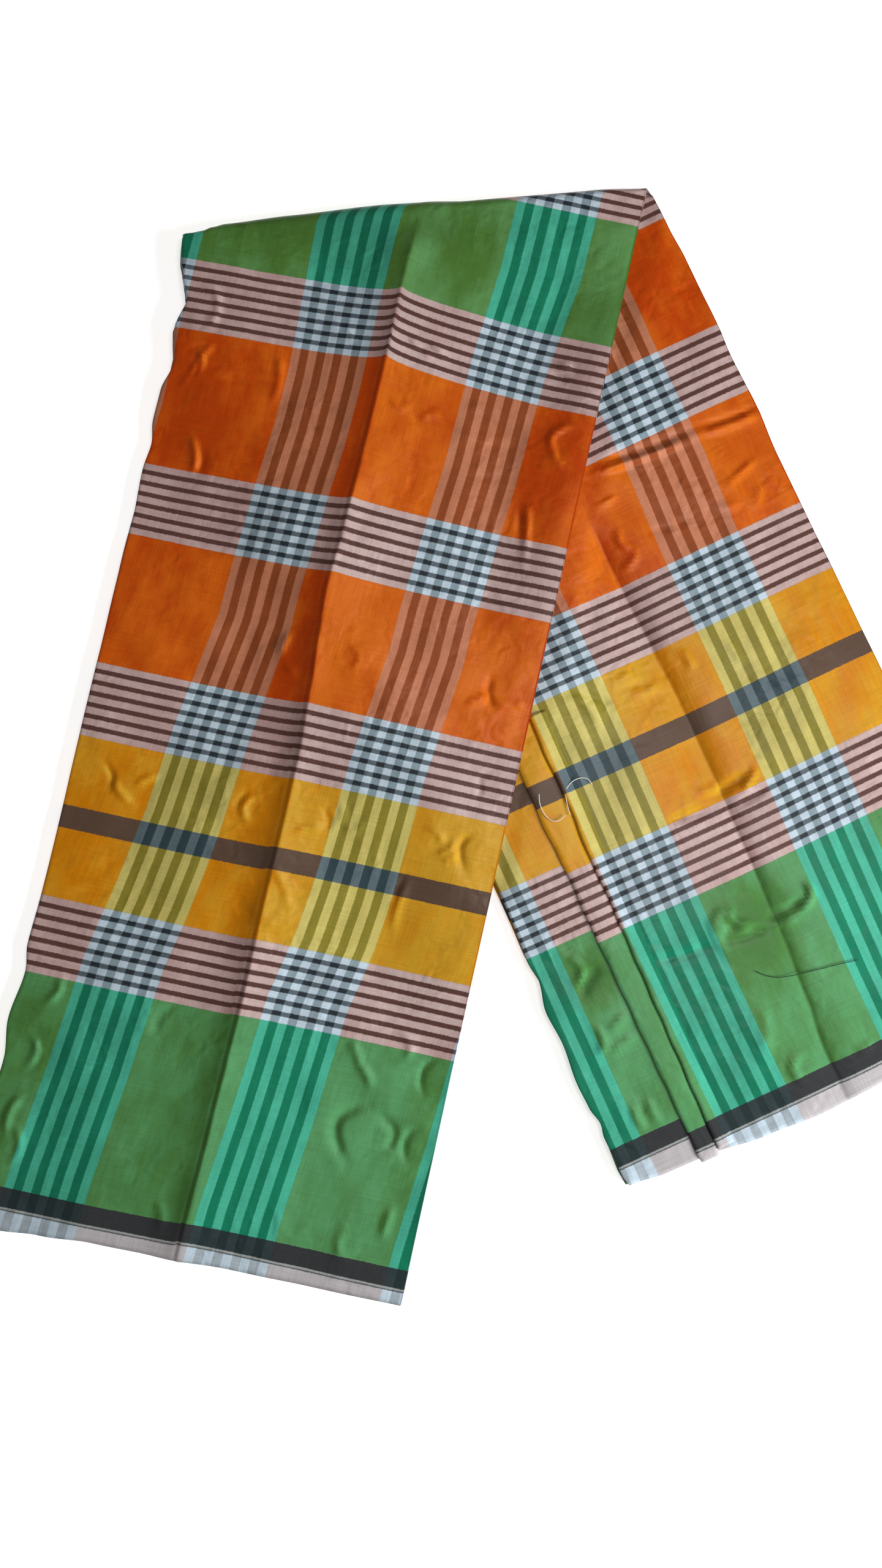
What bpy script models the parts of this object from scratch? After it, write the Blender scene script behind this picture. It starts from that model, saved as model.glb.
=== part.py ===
"""A checked longyi: a sewn tube of cotton cloth, folded lengthwise into a strip eight layers
thick, turned over once on a slanting fold, and laid flat.

Metres, +Z up. The origin lies on the surface that the cloth rests on, under the middle of its
bounding box. The limb that lies on top (the over limb) leans to -X, and the limb beneath it
(the under limb) leans to +X. Each limb has the wall of cloth that shows and one solid of the
hidden layers under it. The roll at the fold has the same two, and the felled side seam lies
on the under limb.

A limb is laid out by two lengths: `across` from its centre line, and `down` from the middle
of the fold towards its hem.
"""
from math import cos, pi, radians, sin

import bmesh
import bpy
from mathutils import Vector

# ---- driving sizes ----------------------------------------------------------------------
TUBE_GIRTH = 1.984          # all round the sewn tube
LAYERS = 8                  # the tube lies double and is folded in half twice
STRIP_WIDTH = TUBE_GIRTH / LAYERS
OVER_LENGTH = 0.6095        # fold to hem, on the centre line
UNDER_LENGTH = 0.5560       # the two add up to the loom width of the cloth
STACK = 0.0050              # eight layers and the air between them
WALL = 0.0010               # the cloth that shows
GAP = 0.0003                # between one piece and the next

FOLD_TILT = radians(5.6)    # the fold's line, from +X
OVER_LEAN = radians(-12.8)  # from -Y, towards +X
UNDER_LEAN = 2 * FOLD_TILT - OVER_LEAN   # the mirror of the over limb in the fold's line
FOLD_MIDDLE = Vector((-0.04341, 0.30497))  # on the crest of the roll
ROLL_REACH = 0.0080         # crest of the roll to the flat limbs

CREASE = {                  # the sharp crease down the middle of each limb
    # height, where it starts at the fold, drift per metre, reach to its left and right
    "over": (0.0022, 0.0, 0.0107, 0.024, 0.055),
    "under": (-0.0018, 0.0118, 0.0, 0.055, 0.024),
}
MIDDLE_CROWDING = 1.35      # above 1 it draws the columns in towards the crease
CROSS_CREASE_DOWN = 0.1860  # a cross crease on the under limb
CROSS_CREASE_HEIGHT = 0.0012
CROSS_CREASE_REACH = 0.0150
EDGE_DIP = 0.0008           # how far a limb sinks towards its edges
EDGE_DIP_REACH = 0.0100
STEP_CLEAR = 0.0220         # the over limb stays level this far past the under limb
STEP_RUN = 0.0340           # and comes down to the surface over this length

EDGE_FOLDS = 3              # folded edges that show along the hidden layers
EDGE_NOTCH = 0.0008         # depth of the grooves between them
HEM_STAGGER = (0.0, 0.0024, 0.0010)   # how far each ends short at the hem, from the bottom

SEAM_LEFT_TOP = -0.0860     # the felled seam on the under limb, across
SEAM_LEFT_HEM = -0.0827
SEAM_WIDTH_TOP = 0.0180
SEAM_WIDTH_HEM = 0.0110
SEAM_TAB = 0.0062           # stands past the hem
SEAM_TAB_DROOP = 0.0016
SEAM_CLEAR = 0.0020         # from the over limb's edge

COLUMNS = 14
ROWS = 40
FOLD_COLUMNS = 16
FOLD_ROWS = 8
SEAM_ROWS = 20
SEAM_SHARE_ON_LIMB = 0.9    # of its rows; the rest are on the tab

# Outward sway of each long edge, in millimetres, by the length down the limb.
# down (m), left edge, right edge
OVER_SWAY = (
    (0.030, -2.6, -0.4),
    (0.077, 0.5, -0.4),
    (0.092, -3.4, -0.4),
    (0.107, -0.7, -0.3),
    (0.122, -3.5, -0.3),
    (0.150, -1.8, -0.3),
    (0.223, -4.1, -0.1),
    (0.237, -2.3, -0.1),
    (0.310, -3.5, 0.1),
    (0.435, -5.2, 0.5),
    (0.463, -4.6, 0.6),
    (0.477, -6.9, 0.6),
    (0.504, -4.4, 0.8),
    (0.525, -6.6, 0.9),
    (0.560, -4.8, 1.0),
    (0.610, -5.6, 1.4),
)
UNDER_SWAY = (
    (0.000, 1.4, -1.6),
    (0.070, 1.4, -0.7),
    (0.090, 1.4, 0.5),
    (0.137, 1.4, 0.6),
    (0.153, 1.4, -0.1),
    (0.186, 1.4, 0.8),
    (0.220, 1.4, -0.7),
    (0.310, 1.6, -0.2),
    (0.394, 1.5, 0.0),
    (0.438, 1.4, 0.2),
    (0.452, 3.2, 0.2),
    (0.467, 1.6, 0.2),
    (0.492, 4.0, 0.0),
    (0.510, 2.4, 0.0),
    (0.545, 3.2, -0.2),
    (0.560, 2.4, -0.4),
)
# How far the hem runs past its length on the centre line, in millimetres.
# share across, over limb, under limb
HEM_RUN = (
    (0.00, 8.0, -4.0),
    (0.08, 6.4, -1.8),
    (0.18, 4.2, -1.4),
    (0.30, 1.8, 2.0),
    (0.45, 0.8, 4.0),
    (0.62, -1.6, 1.8),
    (0.85, -2.4, 0.6),
    (1.00, -3.1, 0.0),
)
# How far the crest of the roll stands past its line, in millimetres, from left to right.
# share along the fold, bulge
CREST = (
    (0.00, -4.6),
    (0.06, -1.4),
    (0.20, 0.2),
    (0.40, 2.0),
    (0.52, 2.2),
    (0.66, -0.4),
    (0.88, -1.0),
    (1.00, -3.6),
)


# ---- helpers ----------------------------------------------------------------------------
def smooth(share):
    """An even S-curve from 0 to 1."""
    share = min(max(share, 0.0), 1.0)
    return share * share * (3 - 2 * share)


def read_row(table, place, column):
    """A column of a table at a place, with an S-curve between its rows, in metres."""
    if place <= table[0][0]:
        return table[0][column] / 1000
    for low, high in zip(table, table[1:]):
        if place <= high[0]:
            share = smooth((place - low[0]) / (high[0] - low[0]))
            return (low[column] + (high[column] - low[column]) * share) / 1000
    return table[-1][column] / 1000


def blend(start, end, share):
    return start + (end - start) * share


def edge_depth(height):
    """How far the stacked folded edges stand back at a share of their height."""
    return EDGE_NOTCH * (1 - abs(sin(pi * EDGE_FOLDS * height)))


def material(name, colour, roughness):
    finish = bpy.data.materials.new(name)
    finish.use_nodes = True
    shader = finish.node_tree.nodes["Principled BSDF"]
    shader.inputs["Base Color"].default_value = (*colour, 1.0)
    shader.inputs["Roughness"].default_value = roughness
    shader.inputs["Metallic"].default_value = 0.0
    return finish


def place_object(name, mesh_data, finish):
    """Turn a bmesh into a named object of the longyi.

    Its quads are split on their shorter diagonal, so a wall and the layers beneath it fold
    along the same lines. A closed solid's faces are turned outwards.
    """
    bmesh.ops.triangulate(mesh_data, faces=mesh_data.faces[:], quad_method="SHORT_EDGE")
    if all(edge.is_manifold for edge in mesh_data.edges):
        bmesh.ops.recalc_face_normals(mesh_data, faces=mesh_data.faces[:])
    mesh = bpy.data.meshes.new(name)
    mesh_data.to_mesh(mesh)
    mesh_data.free()
    mesh.materials.append(finish)
    piece = bpy.data.objects.new(name, mesh)
    longyi.objects.link(piece)
    return piece


def unit_grid(columns, rows):
    """A flat grid over the unit square, with p to the right and q downwards, as on a page."""
    mesh_data = bmesh.new()
    bmesh.ops.create_grid(mesh_data, x_segments=columns, y_segments=rows, size=0.5)
    for vert in mesh_data.verts:
        vert.co = (vert.co.x + 0.5, 0.5 - vert.co.y, 0.0)
    return mesh_data


def cloth_wall(name, columns, rows, shape, finish):
    """A wall of cloth: an open grid whose points are placed by shape(p, q), thickened."""
    mesh_data = unit_grid(columns, rows)
    for vert in mesh_data.verts:
        vert.co = shape(vert.co.x, vert.co.y)
    piece = place_object(name, mesh_data, finish)
    thickness = piece.modifiers.new("Cloth thickness", "SOLIDIFY")
    thickness.thickness = WALL
    thickness.offset = -1.0
    thickness.use_even_offset = True
    return piece


def layer_stack(name, columns, rows, shape, finish):
    """Hidden layers as one solid: a grid extruded once, its sides cut into levels.

    shape(p, q, h) places each point. p and q run over the grid, and h from the bottom
    layer to the top one.
    """
    mesh_data = unit_grid(columns, rows)
    raised = bmesh.ops.extrude_face_region(mesh_data, geom=mesh_data.faces[:])
    top = [item for item in raised["geom"] if isinstance(item, bmesh.types.BMVert)]
    bmesh.ops.translate(mesh_data, vec=(0.0, 0.0, 1.0), verts=top)
    uprights = [edge for edge in mesh_data.edges if abs(edge.verts[0].co.z - edge.verts[1].co.z) > 0.5]
    bmesh.ops.subdivide_edges(mesh_data, edges=uprights, cuts=2 * EDGE_FOLDS - 1)
    for vert in mesh_data.verts:
        vert.co = shape(*vert.co)
    return place_object(name, mesh_data, finish)


# ---- the fold's line --------------------------------------------------------------------
ALONG_FOLD = Vector((cos(FOLD_TILT), sin(FOLD_TILT)))
PAST_FOLD = Vector((-sin(FOLD_TILT), cos(FOLD_TILT)))
ROLL_RADIUS = STACK + GAP / 2                      # upright; the two limbs and the gap
HALF_FOLD = STRIP_WIDTH / 2 / cos(FOLD_TILT - OVER_LEAN)


class Limb:
    """One stretch of the folded strip, from the slanting fold to its hem."""

    def __init__(self, name, lean, length, sway, hem_column):
        self.name = name
        self.across = Vector((cos(lean), sin(lean)))
        self.down = Vector((sin(lean), -cos(lean)))
        self.length = length
        self.sway = sway
        self.hem_column = hem_column
        self.crease = CREASE[name]

    def fold_at(self, across):
        """The length down at which the flat cloth starts, just short of the roll."""
        start = ROLL_REACH + GAP
        return -(start + across * PAST_FOLD.dot(self.across)) / PAST_FOLD.dot(self.down)

    def hem_at(self, p):
        return self.length + read_row(HEM_RUN, p, self.hem_column)

    def crease_at(self, down):
        return self.crease[1] + self.crease[2] * down

    def spread(self, p, down):
        """The length across at share p, with the middle column on the crease."""
        side = 2 * p - 1
        crowded = abs(side) ** MIDDLE_CROWDING
        if side < 0:
            edge = -STRIP_WIDTH / 2 - read_row(self.sway, down, 1)
        else:
            edge = STRIP_WIDTH / 2 + read_row(self.sway, down, 2)
        return blend(self.crease_at(down), edge, crowded)

    def lengths(self, p, q):
        """Across and down, at share p across and share q from the fold to the hem."""
        straight = (p - 0.5) * STRIP_WIDTH
        across = self.spread(p, blend(self.fold_at(straight), self.hem_at(p), q))
        return across, blend(self.fold_at(across), self.hem_at(p), q)

    def on_plan(self, across, down):
        return FOLD_MIDDLE + self.across * across + self.down * down

    def relief(self, across, down, bare):
        """Height of the creases, less the dip at the edges, where the limb lies bare."""
        height, _, _, left_reach, right_reach = self.crease
        beside = across - self.crease_at(down)
        reach = right_reach if beside > 0 else left_reach
        rise = height * max(0.0, 1 - abs(beside) / reach) ** 2
        if self.name == "under":
            off_cross = abs(down - CROSS_CREASE_DOWN) / CROSS_CREASE_REACH
            rise += CROSS_CREASE_HEIGHT * smooth(1 - off_cross)
        to_edge = STRIP_WIDTH / 2 - abs(across)
        return (rise - EDGE_DIP * smooth(1 - to_edge / EDGE_DIP_REACH)) * bare


over = Limb("over", OVER_LEAN, OVER_LENGTH, OVER_SWAY, 1)
under = Limb("under", UNDER_LEAN, UNDER_LENGTH, UNDER_SWAY, 2)


def over_base(point):
    """Underside of the over limb: on the under limb, then down to the surface."""
    beside = (point - FOLD_MIDDLE).dot(under.across) + STRIP_WIDTH / 2 + STEP_CLEAR + STEP_RUN
    return (STACK + GAP) * smooth(beside / STEP_RUN)


def under_bare(point):
    """0 where the over limb covers the under limb, 1 well clear of it."""
    beside = (point - FOLD_MIDDLE).dot(over.across) - STRIP_WIDTH / 2
    return smooth(beside / (2 * STEP_CLEAR))


def over_wall_point(p, q):
    across, down = over.lengths(p, q)
    point = over.on_plan(across, down)
    height = over_base(point) + STACK + over.relief(across, down, smooth(4 * q))
    return (*point, height)


def under_wall_point(p, q):
    across, down = under.lengths(p, q)
    point = under.on_plan(across, down)
    return (*point, STACK + under.relief(across, down, under_bare(point)))


def stacked(limb, p, q, h, bottom, top):
    """A point of a limb's hidden layers, with folded edges and a staggered hem."""
    across, down = limb.lengths(p, q)
    if p < 0.001:
        across += edge_depth(h)
    if p > 0.999:
        across -= edge_depth(h)
    if q > 0.999:
        fold_number = min(int(h * EDGE_FOLDS), EDGE_FOLDS - 1)
        down -= edge_depth(h) + HEM_STAGGER[fold_number]
    return (*limb.on_plan(across, down), blend(bottom, top, h))


def over_layers_point(p, q, h):
    x, y, wall_top = over_wall_point(p, q)
    return stacked(over, p, q, h, over_base(Vector((x, y))), wall_top - WALL - GAP)


def under_layers_point(p, q, h):
    wall_top = under_wall_point(p, q)[2]
    return stacked(under, p, q, h, 0.0, wall_top - WALL - GAP)


def roll_point(p, turn, inset, foot):
    """A point round the roll: turn runs from -1 under it, by 0 at the crest, to 1 above."""
    along = blend(-HALF_FOLD, HALF_FOLD, p)
    reach = ROLL_REACH + read_row(CREST, p, 1) - inset - foot
    past = -ROLL_REACH + foot + reach * cos(turn * pi / 2)
    point = FOLD_MIDDLE + ALONG_FOLD * along + PAST_FOLD * past
    return (*point, ROLL_RADIUS + (ROLL_RADIUS - inset) * sin(turn * pi / 2))


def fold_wall_point(p, q):
    return roll_point(p, 2 * q - 1, 0.0, GAP)


def fold_layers_point(p, q, h):
    """The roll's hidden layers, from the flat side (h = 0) out to the wall (h = 1)."""
    ends = edge_depth(h) if p < 0.001 or p > 0.999 else 0.0
    side = -1 if p < 0.5 else 1
    inset = WALL + 1.8 * GAP
    x, y, z = roll_point(p, 2 * q - 1, inset, EDGE_NOTCH / 2)
    outer = Vector((x, y)) - ALONG_FOLD * side * ends
    past = (outer - FOLD_MIDDLE).dot(PAST_FOLD)
    flat = outer - PAST_FOLD * (past + ROLL_REACH)
    return (*flat.lerp(outer, h), z)


def seam_point(p, q):
    """The felled seam: from the over limb's edge to the tab that stands past the hem."""
    width = blend(SEAM_WIDTH_TOP, SEAM_WIDTH_HEM, q)
    across = blend(SEAM_LEFT_TOP, SEAM_LEFT_HEM, q) + width * p
    clear = STRIP_WIDTH / 2 + SEAM_CLEAR - across * under.across.dot(over.across)
    start = clear / under.down.dot(over.across)
    hem = under.hem_at(0.25) + GAP
    on_limb = min(q / SEAM_SHARE_ON_LIMB, 1.0)
    on_tab = max(q - SEAM_SHARE_ON_LIMB, 0.0) / (1 - SEAM_SHARE_ON_LIMB)
    down = blend(start, hem, on_limb) + SEAM_TAB * on_tab
    return (*under.on_plan(across, down), STACK + GAP + WALL - SEAM_TAB_DROOP * on_tab)


# ---- the longyi -------------------------------------------------------------------------
for leftover in list(bpy.data.objects):
    bpy.data.objects.remove(leftover, do_unlink=True)
longyi = bpy.data.collections.new("longyi")
bpy.context.scene.collection.children.link(longyi)

ORANGE = (0.54, 0.08, 0.004)
GREEN = (0.05, 0.23, 0.06)
YELLOW = (0.62, 0.26, 0.01)
PINK = (0.57, 0.35, 0.32)
SHEEN_ROUGHNESS = 0.45      # calendered cotton, softly glossy

cloth_wall("over_panel", COLUMNS, ROWS, over_wall_point,
           material("over limb cotton", ORANGE, SHEEN_ROUGHNESS))
layer_stack("over_layers", COLUMNS, ROWS, over_layers_point,
            material("over limb inner layers", PINK, SHEEN_ROUGHNESS))
cloth_wall("under_panel", COLUMNS, ROWS, under_wall_point,
           material("under limb cotton", YELLOW, SHEEN_ROUGHNESS))
layer_stack("under_layers", COLUMNS, ROWS, under_layers_point,
            material("under limb inner layers", PINK, SHEEN_ROUGHNESS))
cloth_wall("fold_wall", FOLD_COLUMNS, FOLD_ROWS, fold_wall_point,
           material("fold cotton", GREEN, SHEEN_ROUGHNESS))
layer_stack("fold_layers", FOLD_COLUMNS, FOLD_ROWS, fold_layers_point,
            material("fold inner layers", PINK, SHEEN_ROUGHNESS))
cloth_wall("side_seam", 2, SEAM_ROWS, seam_point,
           material("seam cotton", GREEN, SHEEN_ROUGHNESS))
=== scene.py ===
# %% [markdown]
# # A checked longyi, folded and turned over once
#
# A longyi is a tube of checked cotton about two metres round, worn wrapped at the waist. This
# one is new from the loom: calendered smooth, folded lengthwise into a strip of eight layers,
# and laid down with one slanting turn, so that both ends of the strip point the same way.
# The cells below follow a person who folds it: first the sizes of the strip, then how it lies,
# how deep its creases are, the cloth itself, the hidden folds, the seam, and last the finish.

# %% Load the frame
from math import cos, pi, radians, sin

import bpy
import numpy as np
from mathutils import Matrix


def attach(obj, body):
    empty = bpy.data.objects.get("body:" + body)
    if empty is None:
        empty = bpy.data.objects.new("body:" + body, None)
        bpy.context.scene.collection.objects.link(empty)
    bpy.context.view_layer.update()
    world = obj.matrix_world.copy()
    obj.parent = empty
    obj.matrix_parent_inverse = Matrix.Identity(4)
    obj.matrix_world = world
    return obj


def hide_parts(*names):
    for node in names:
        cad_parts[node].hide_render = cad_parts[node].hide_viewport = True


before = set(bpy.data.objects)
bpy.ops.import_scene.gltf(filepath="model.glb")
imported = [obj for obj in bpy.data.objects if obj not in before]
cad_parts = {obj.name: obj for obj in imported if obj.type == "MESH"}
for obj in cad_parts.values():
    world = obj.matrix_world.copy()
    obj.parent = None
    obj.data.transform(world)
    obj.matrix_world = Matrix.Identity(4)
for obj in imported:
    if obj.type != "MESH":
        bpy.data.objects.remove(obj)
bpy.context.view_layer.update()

print("nodes in the frame:", ", ".join(sorted(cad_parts)))

# %% [markdown]
# ## The sizes of the strip
#
# Everything follows from the girth of the tube and the number of layers. The two limbs
# together are as long as the loom was wide. These are the frame's own sizes, so the cloth
# lies where its solids lie. A place on a limb is given by `across`, from its centre line,
# and `down`, from the middle of the slanting fold towards the hem.

# %% Sizes, in metres
TUBE_GIRTH = 1.984
LAYERS = 8
STRIP_WIDTH = TUBE_GIRTH / LAYERS
OVER_LENGTH = 0.6095        # slanting fold to hem
UNDER_LENGTH = 0.5560
STACK = 0.0050              # eight layers and the air between them
GAP = 0.0003                # between the limbs, as in the frame
CLOTH = 0.00042             # one layer of light cotton
FOLD_TILT = radians(5.6)
OVER_LEAN = radians(-12.8)
UNDER_LEAN = 2 * FOLD_TILT - OVER_LEAN
FOLD_MIDDLE = np.array((-0.04341, 0.30497))
ROLL_REACH = 0.0080         # how far the turned cloth stands past the flat limbs
ROLL_RADIUS = STACK + GAP / 2
STEP_CLEAR = 0.0090         # the over limb stays level this far past the under limb
STEP_RUN = 0.0750           # and comes down over this length
BARE_CLEAR = 0.0220         # the under limb takes this far to lie free of the over limb
print(f"strip {STRIP_WIDTH * 1000:.0f} mm wide, {(OVER_LENGTH + UNDER_LENGTH) * 1000:.0f} mm long")

# %% [markdown]
# ## The outline
#
# Folded by hand, no edge of the strip is straight. The folded edges on the left sway by a few
# millimetres where the layers slip against each other. Short tables hold these sways, and one
# function eases from row to row, so an edge has no corners.

# %% Tables of the outline
# Outward sway of each long edge, in millimetres: down (m), left edge, right edge
OVER_SWAY = (
    (0.040, 3.4, -0.4),
    (0.053, 6.2, -0.4),
    (0.060, 5.0, -0.4),
    (0.066, 3.8, -0.4),
    (0.074, 0.4, -0.4),
    (0.089, -5.3, -0.4),
    (0.104, -1.7, -0.3),
    (0.126, -5.8, -0.3),
    (0.142, -2.0, -0.3),
    (0.159, -1.6, -0.3),
    (0.173, -4.0, -0.2),
    (0.188, -2.7, -0.2),
    (0.216, -4.1, -0.1),
    (0.245, -3.8, -0.1),
    (0.310, -4.5, 0.1),
    (0.435, -6.2, 0.5),
    (0.463, -5.6, 0.6),
    (0.477, -8.0, 0.6),
    (0.504, -5.0, 0.8),
    (0.525, -8.2, 0.9),
    (0.560, -5.8, 1.0),
    (0.610, -6.6, 1.4),
)
UNDER_SWAY = (
    (0.000, 1.4, -1.6),
    (0.070, 1.4, -0.7),
    (0.090, 1.4, 0.5),
    (0.137, 1.4, 0.6),
    (0.153, 1.4, -0.1),
    (0.186, 1.4, 0.8),
    (0.220, 1.4, -0.7),
    (0.310, 1.0, -0.2),
    (0.394, -0.3, 0.0),
    (0.420, 0.0, 0.1),
    (0.432, -2.0, 0.2),
    (0.450, 1.2, 0.2),
    (0.468, 0.0, 0.2),
    (0.492, 2.0, 0.0),
    (0.506, 1.4, 0.0),
    (0.516, -0.6, 0.0),
    (0.524, 1.0, -0.1),
    (0.546, 1.2, -0.2),
    (0.560, -2.2, -0.4),
)
# How far the hem runs past the limb's length, in millimetres: share across, over, under
HEM_RUN = (
    (0.00, 6.6, -4.0),
    (0.08, 5.0, -1.8),
    (0.18, 2.8, -1.4),
    (0.30, 0.4, 2.0),
    (0.45, -0.6, 4.0),
    (0.62, -3.0, 1.8),
    (0.85, -3.8, 0.6),
    (1.00, -4.4, 0.0),
)
# Where the crease runs across each limb, in millimetres: down (m), over, under
CREASE_LINE = (
    (0.000, 0.2, 9.0),
    (0.055, -0.6, 9.0),
    (0.100, 0.3, 9.0),
    (0.160, 0.2, 9.2),
    (0.195, -0.6, 8.6),
    (0.235, -2.0, 10.0),
    (0.260, -0.4, 10.4),
    (0.290, 1.8, 12.0),
    (0.325, 3.7, 13.2),
    (0.370, 4.2, 13.0),
    (0.410, 4.0, 11.4),
    (0.465, 4.8, 9.8),
    (0.500, 4.3, 7.5),
    (0.530, 3.8, 4.4),
    (0.600, 2.6, 3.0),
)
# How far the crest of the roll stands past its line, in millimetres: share along, bulge
CREST = (
    (0.00, -6.0),
    (0.03, -2.8),
    (0.06, -1.4),
    (0.20, 0.2),
    (0.40, 1.6),
    (0.50, 0.8),
    (0.60, -1.2),
    (0.88, -2.0),
    (1.00, -4.2),
)
print("outline rows:", len(OVER_SWAY), "over,", len(UNDER_SWAY), "under,", len(CREST), "roll")

# %% Reading a table
def smooth(share):
    """An even S-curve from 0 to 1."""
    share = np.clip(share, 0.0, 1.0)
    return share * share * (3 - 2 * share)


def blend(start, end, share):
    return start + (end - start) * share


def read_table(table, place, column):
    """A column of a table in millimetres, at any places, eased between its rows; in metres."""
    rows = np.array(table, dtype=float)
    place = np.clip(place, rows[0, 0], rows[-1, 0])
    after = np.clip(np.searchsorted(rows[:, 0], place, side="right"), 1, len(rows) - 1)
    low, high = rows[after - 1], rows[after]
    share = smooth((place - low[..., 0]) / (high[..., 0] - low[..., 0]))
    return blend(low[..., column], high[..., column], share) / 1000


print("left edge of the over limb at 0.1 m down:", read_table(OVER_SWAY, 0.1, 1), "m")

# %% [markdown]
# ## Two limbs on the table
#
# Each limb is a flat ruler of its own, with a direction across and one down. The under limb is
# the over limb's mirror in the line of the fold. The fold's crest is `ROLL_REACH` further out
# than the last of the flat cloth.

# %% The limbs
ALONG_FOLD = np.array((cos(FOLD_TILT), sin(FOLD_TILT)))
PAST_FOLD = np.array((-sin(FOLD_TILT), cos(FOLD_TILT)))
HALF_FOLD = STRIP_WIDTH / 2 / cos(FOLD_TILT - OVER_LEAN)


class Limb:
    """One stretch of the strip, from the slanting fold to its hem."""

    def __init__(self, lean, length, sway, column):
        self.across = np.array((cos(lean), sin(lean)))
        self.down = np.array((sin(lean), -cos(lean)))
        self.length = length
        self.sway = sway
        self.column = column     # its own column in the tables that both limbs share

    def fold_at(self, across):
        """The length down at which the flat cloth starts."""
        return -(ROLL_REACH + across * (PAST_FOLD @ self.across)) / (PAST_FOLD @ self.down)

    def hem_at(self, across):
        share = across / STRIP_WIDTH + 0.5
        return self.length + read_table(HEM_RUN, share, self.column)

    def crease_at(self, down):
        return read_table(CREASE_LINE, down, self.column)

    def edges(self, down):
        left = -STRIP_WIDTH / 2 - read_table(self.sway, down, 1)
        return left, STRIP_WIDTH / 2 + read_table(self.sway, down, 2)

    def plan(self, across, down):
        """Places on the table, as one array with x and y last."""
        return FOLD_MIDDLE + across[..., None] * self.across + down[..., None] * self.down

    def across_of(self, plan):
        return (plan - FOLD_MIDDLE) @ self.across


over = Limb(OVER_LEAN, OVER_LENGTH, OVER_SWAY, 1)
under = Limb(UNDER_LEAN, UNDER_LENGTH, UNDER_SWAY, 2)
print(f"slanting fold {2 * HALF_FOLD * 1000:.0f} mm long")


def over_base(plan):
    """Underside of the over limb: on the under limb, then down to the table."""
    beside = under.across_of(plan) + STRIP_WIDTH / 2 + STEP_CLEAR + STEP_RUN
    return (STACK + GAP) * smooth(beside / STEP_RUN)


def under_bare(plan):
    """0 where the over limb covers the under limb, 1 well clear of it."""
    beside = over.across_of(plan) - STRIP_WIDTH / 2
    return smooth(beside / BARE_CLEAR)


# %% [markdown]
# ## Creases and buckles
#
# The strip was pressed when it was folded, so a sharp crease runs down the middle of each
# limb: it stands up as a ridge on the over limb and lies as a valley on the under limb,
# because the under limb shows the strip's other face. Its two sides fall away unevenly. The
# cloth of the top layer is a little longer than the pile beneath it, and the spare length has
# gone into small curved buckles. They are listed in tables, each a short curved ridge
# or furrow. A cloth simulation would buckle too, but not where this cloth does.

# %% Creases
# Height of the crease at each length down, in millimetres: down (m), over, under
CREASE_HEIGHT = (
    (0.000, 2.3, 0.0),
    (0.040, 4.1, -1.2),
    (0.090, 4.6, -2.2),
    (0.200, 4.7, -3.0),
    (0.330, 4.8, -3.3),
    (0.390, 4.8, -2.9),
    (0.430, 4.8, -1.8),
    (0.560, 4.1, -1.5),
    (0.610, 2.8, -1.2),
)
# how steeply it falls away to the left and to the right (m)
OVER_CREASE_FALL = (0.0085, 0.0290)
UNDER_CREASE_FALL = (0.0300, 0.0075)
UNDER_LOW_FALL = (0.0140, 0.0034)     # below the place where the pile relaxes
LOW_FROM, LOW_OVER = 0.385, 0.045     # m, where that begins and how gradually
EDGE_DIP = 0.0002
EDGE_DIP_REACH = 0.0100
BESIDE_PUFF = 0.0014         # the under limb puffs up where the over limb stops pressing it
BESIDE_PUFF_AT = 0.0060
BESIDE_PUFF_REACH = 0.0090
EDGE_LIFT = 0.0042
EDGE_LIFT_REACH = 0.0420
EDGE_LIFT_START = 0.06       # m down, over which the lift grows
EDGE_LIFT_END, EDGE_LIFT_EASE = 0.29, 0.10


def crease_height(limb, across, down, fall):
    """A sharp ridge or valley whose two sides flatten out like a draped edge."""
    height = read_table(CREASE_HEIGHT, down, limb.column)
    beside = across - limb.crease_at(down)
    reach = np.where(beside > 0, fall[1], fall[0])
    return height * np.exp(-np.abs(beside) / reach)


def edge_height(across):
    """The face dips a little beside the wide nose on the right."""
    to_edge = STRIP_WIDTH / 2 - across
    return -EDGE_DIP * smooth(1 - to_edge / EDGE_DIP_REACH)


def lifted_edge(across, down):
    """Near the fold the bulky right edge of the over limb stands above the cloth beside it."""
    beside = (across - STRIP_WIDTH / 2) / EDGE_LIFT_REACH + 1
    return EDGE_LIFT * smooth(beside) * smooth(down / EDGE_LIFT_START) \
        * smooth((EDGE_LIFT_END - down) / EDGE_LIFT_EASE)


def puff_height(across, down, phase):
    """Slow, uneven swelling of the face over the pile, up to about a millimetre."""
    wide = np.sin(across * 88 + 2 * np.sin(down * 31 + phase)) \
        * np.sin(down * 57 + 1.5 * np.sin(across * 41 + phase) + phase)
    narrow = np.sin(across * 176 - down * 63 + phase * 3) \
        * np.sin(down * 139 + across * 52 + phase)
    return 0.00045 + 0.00032 * wide + 0.00015 * narrow


print(f"crease of the over limb at 0.2 m down: {read_table(CREASE_HEIGHT, 0.2, 1) * 1000:.1f} mm")

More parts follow.
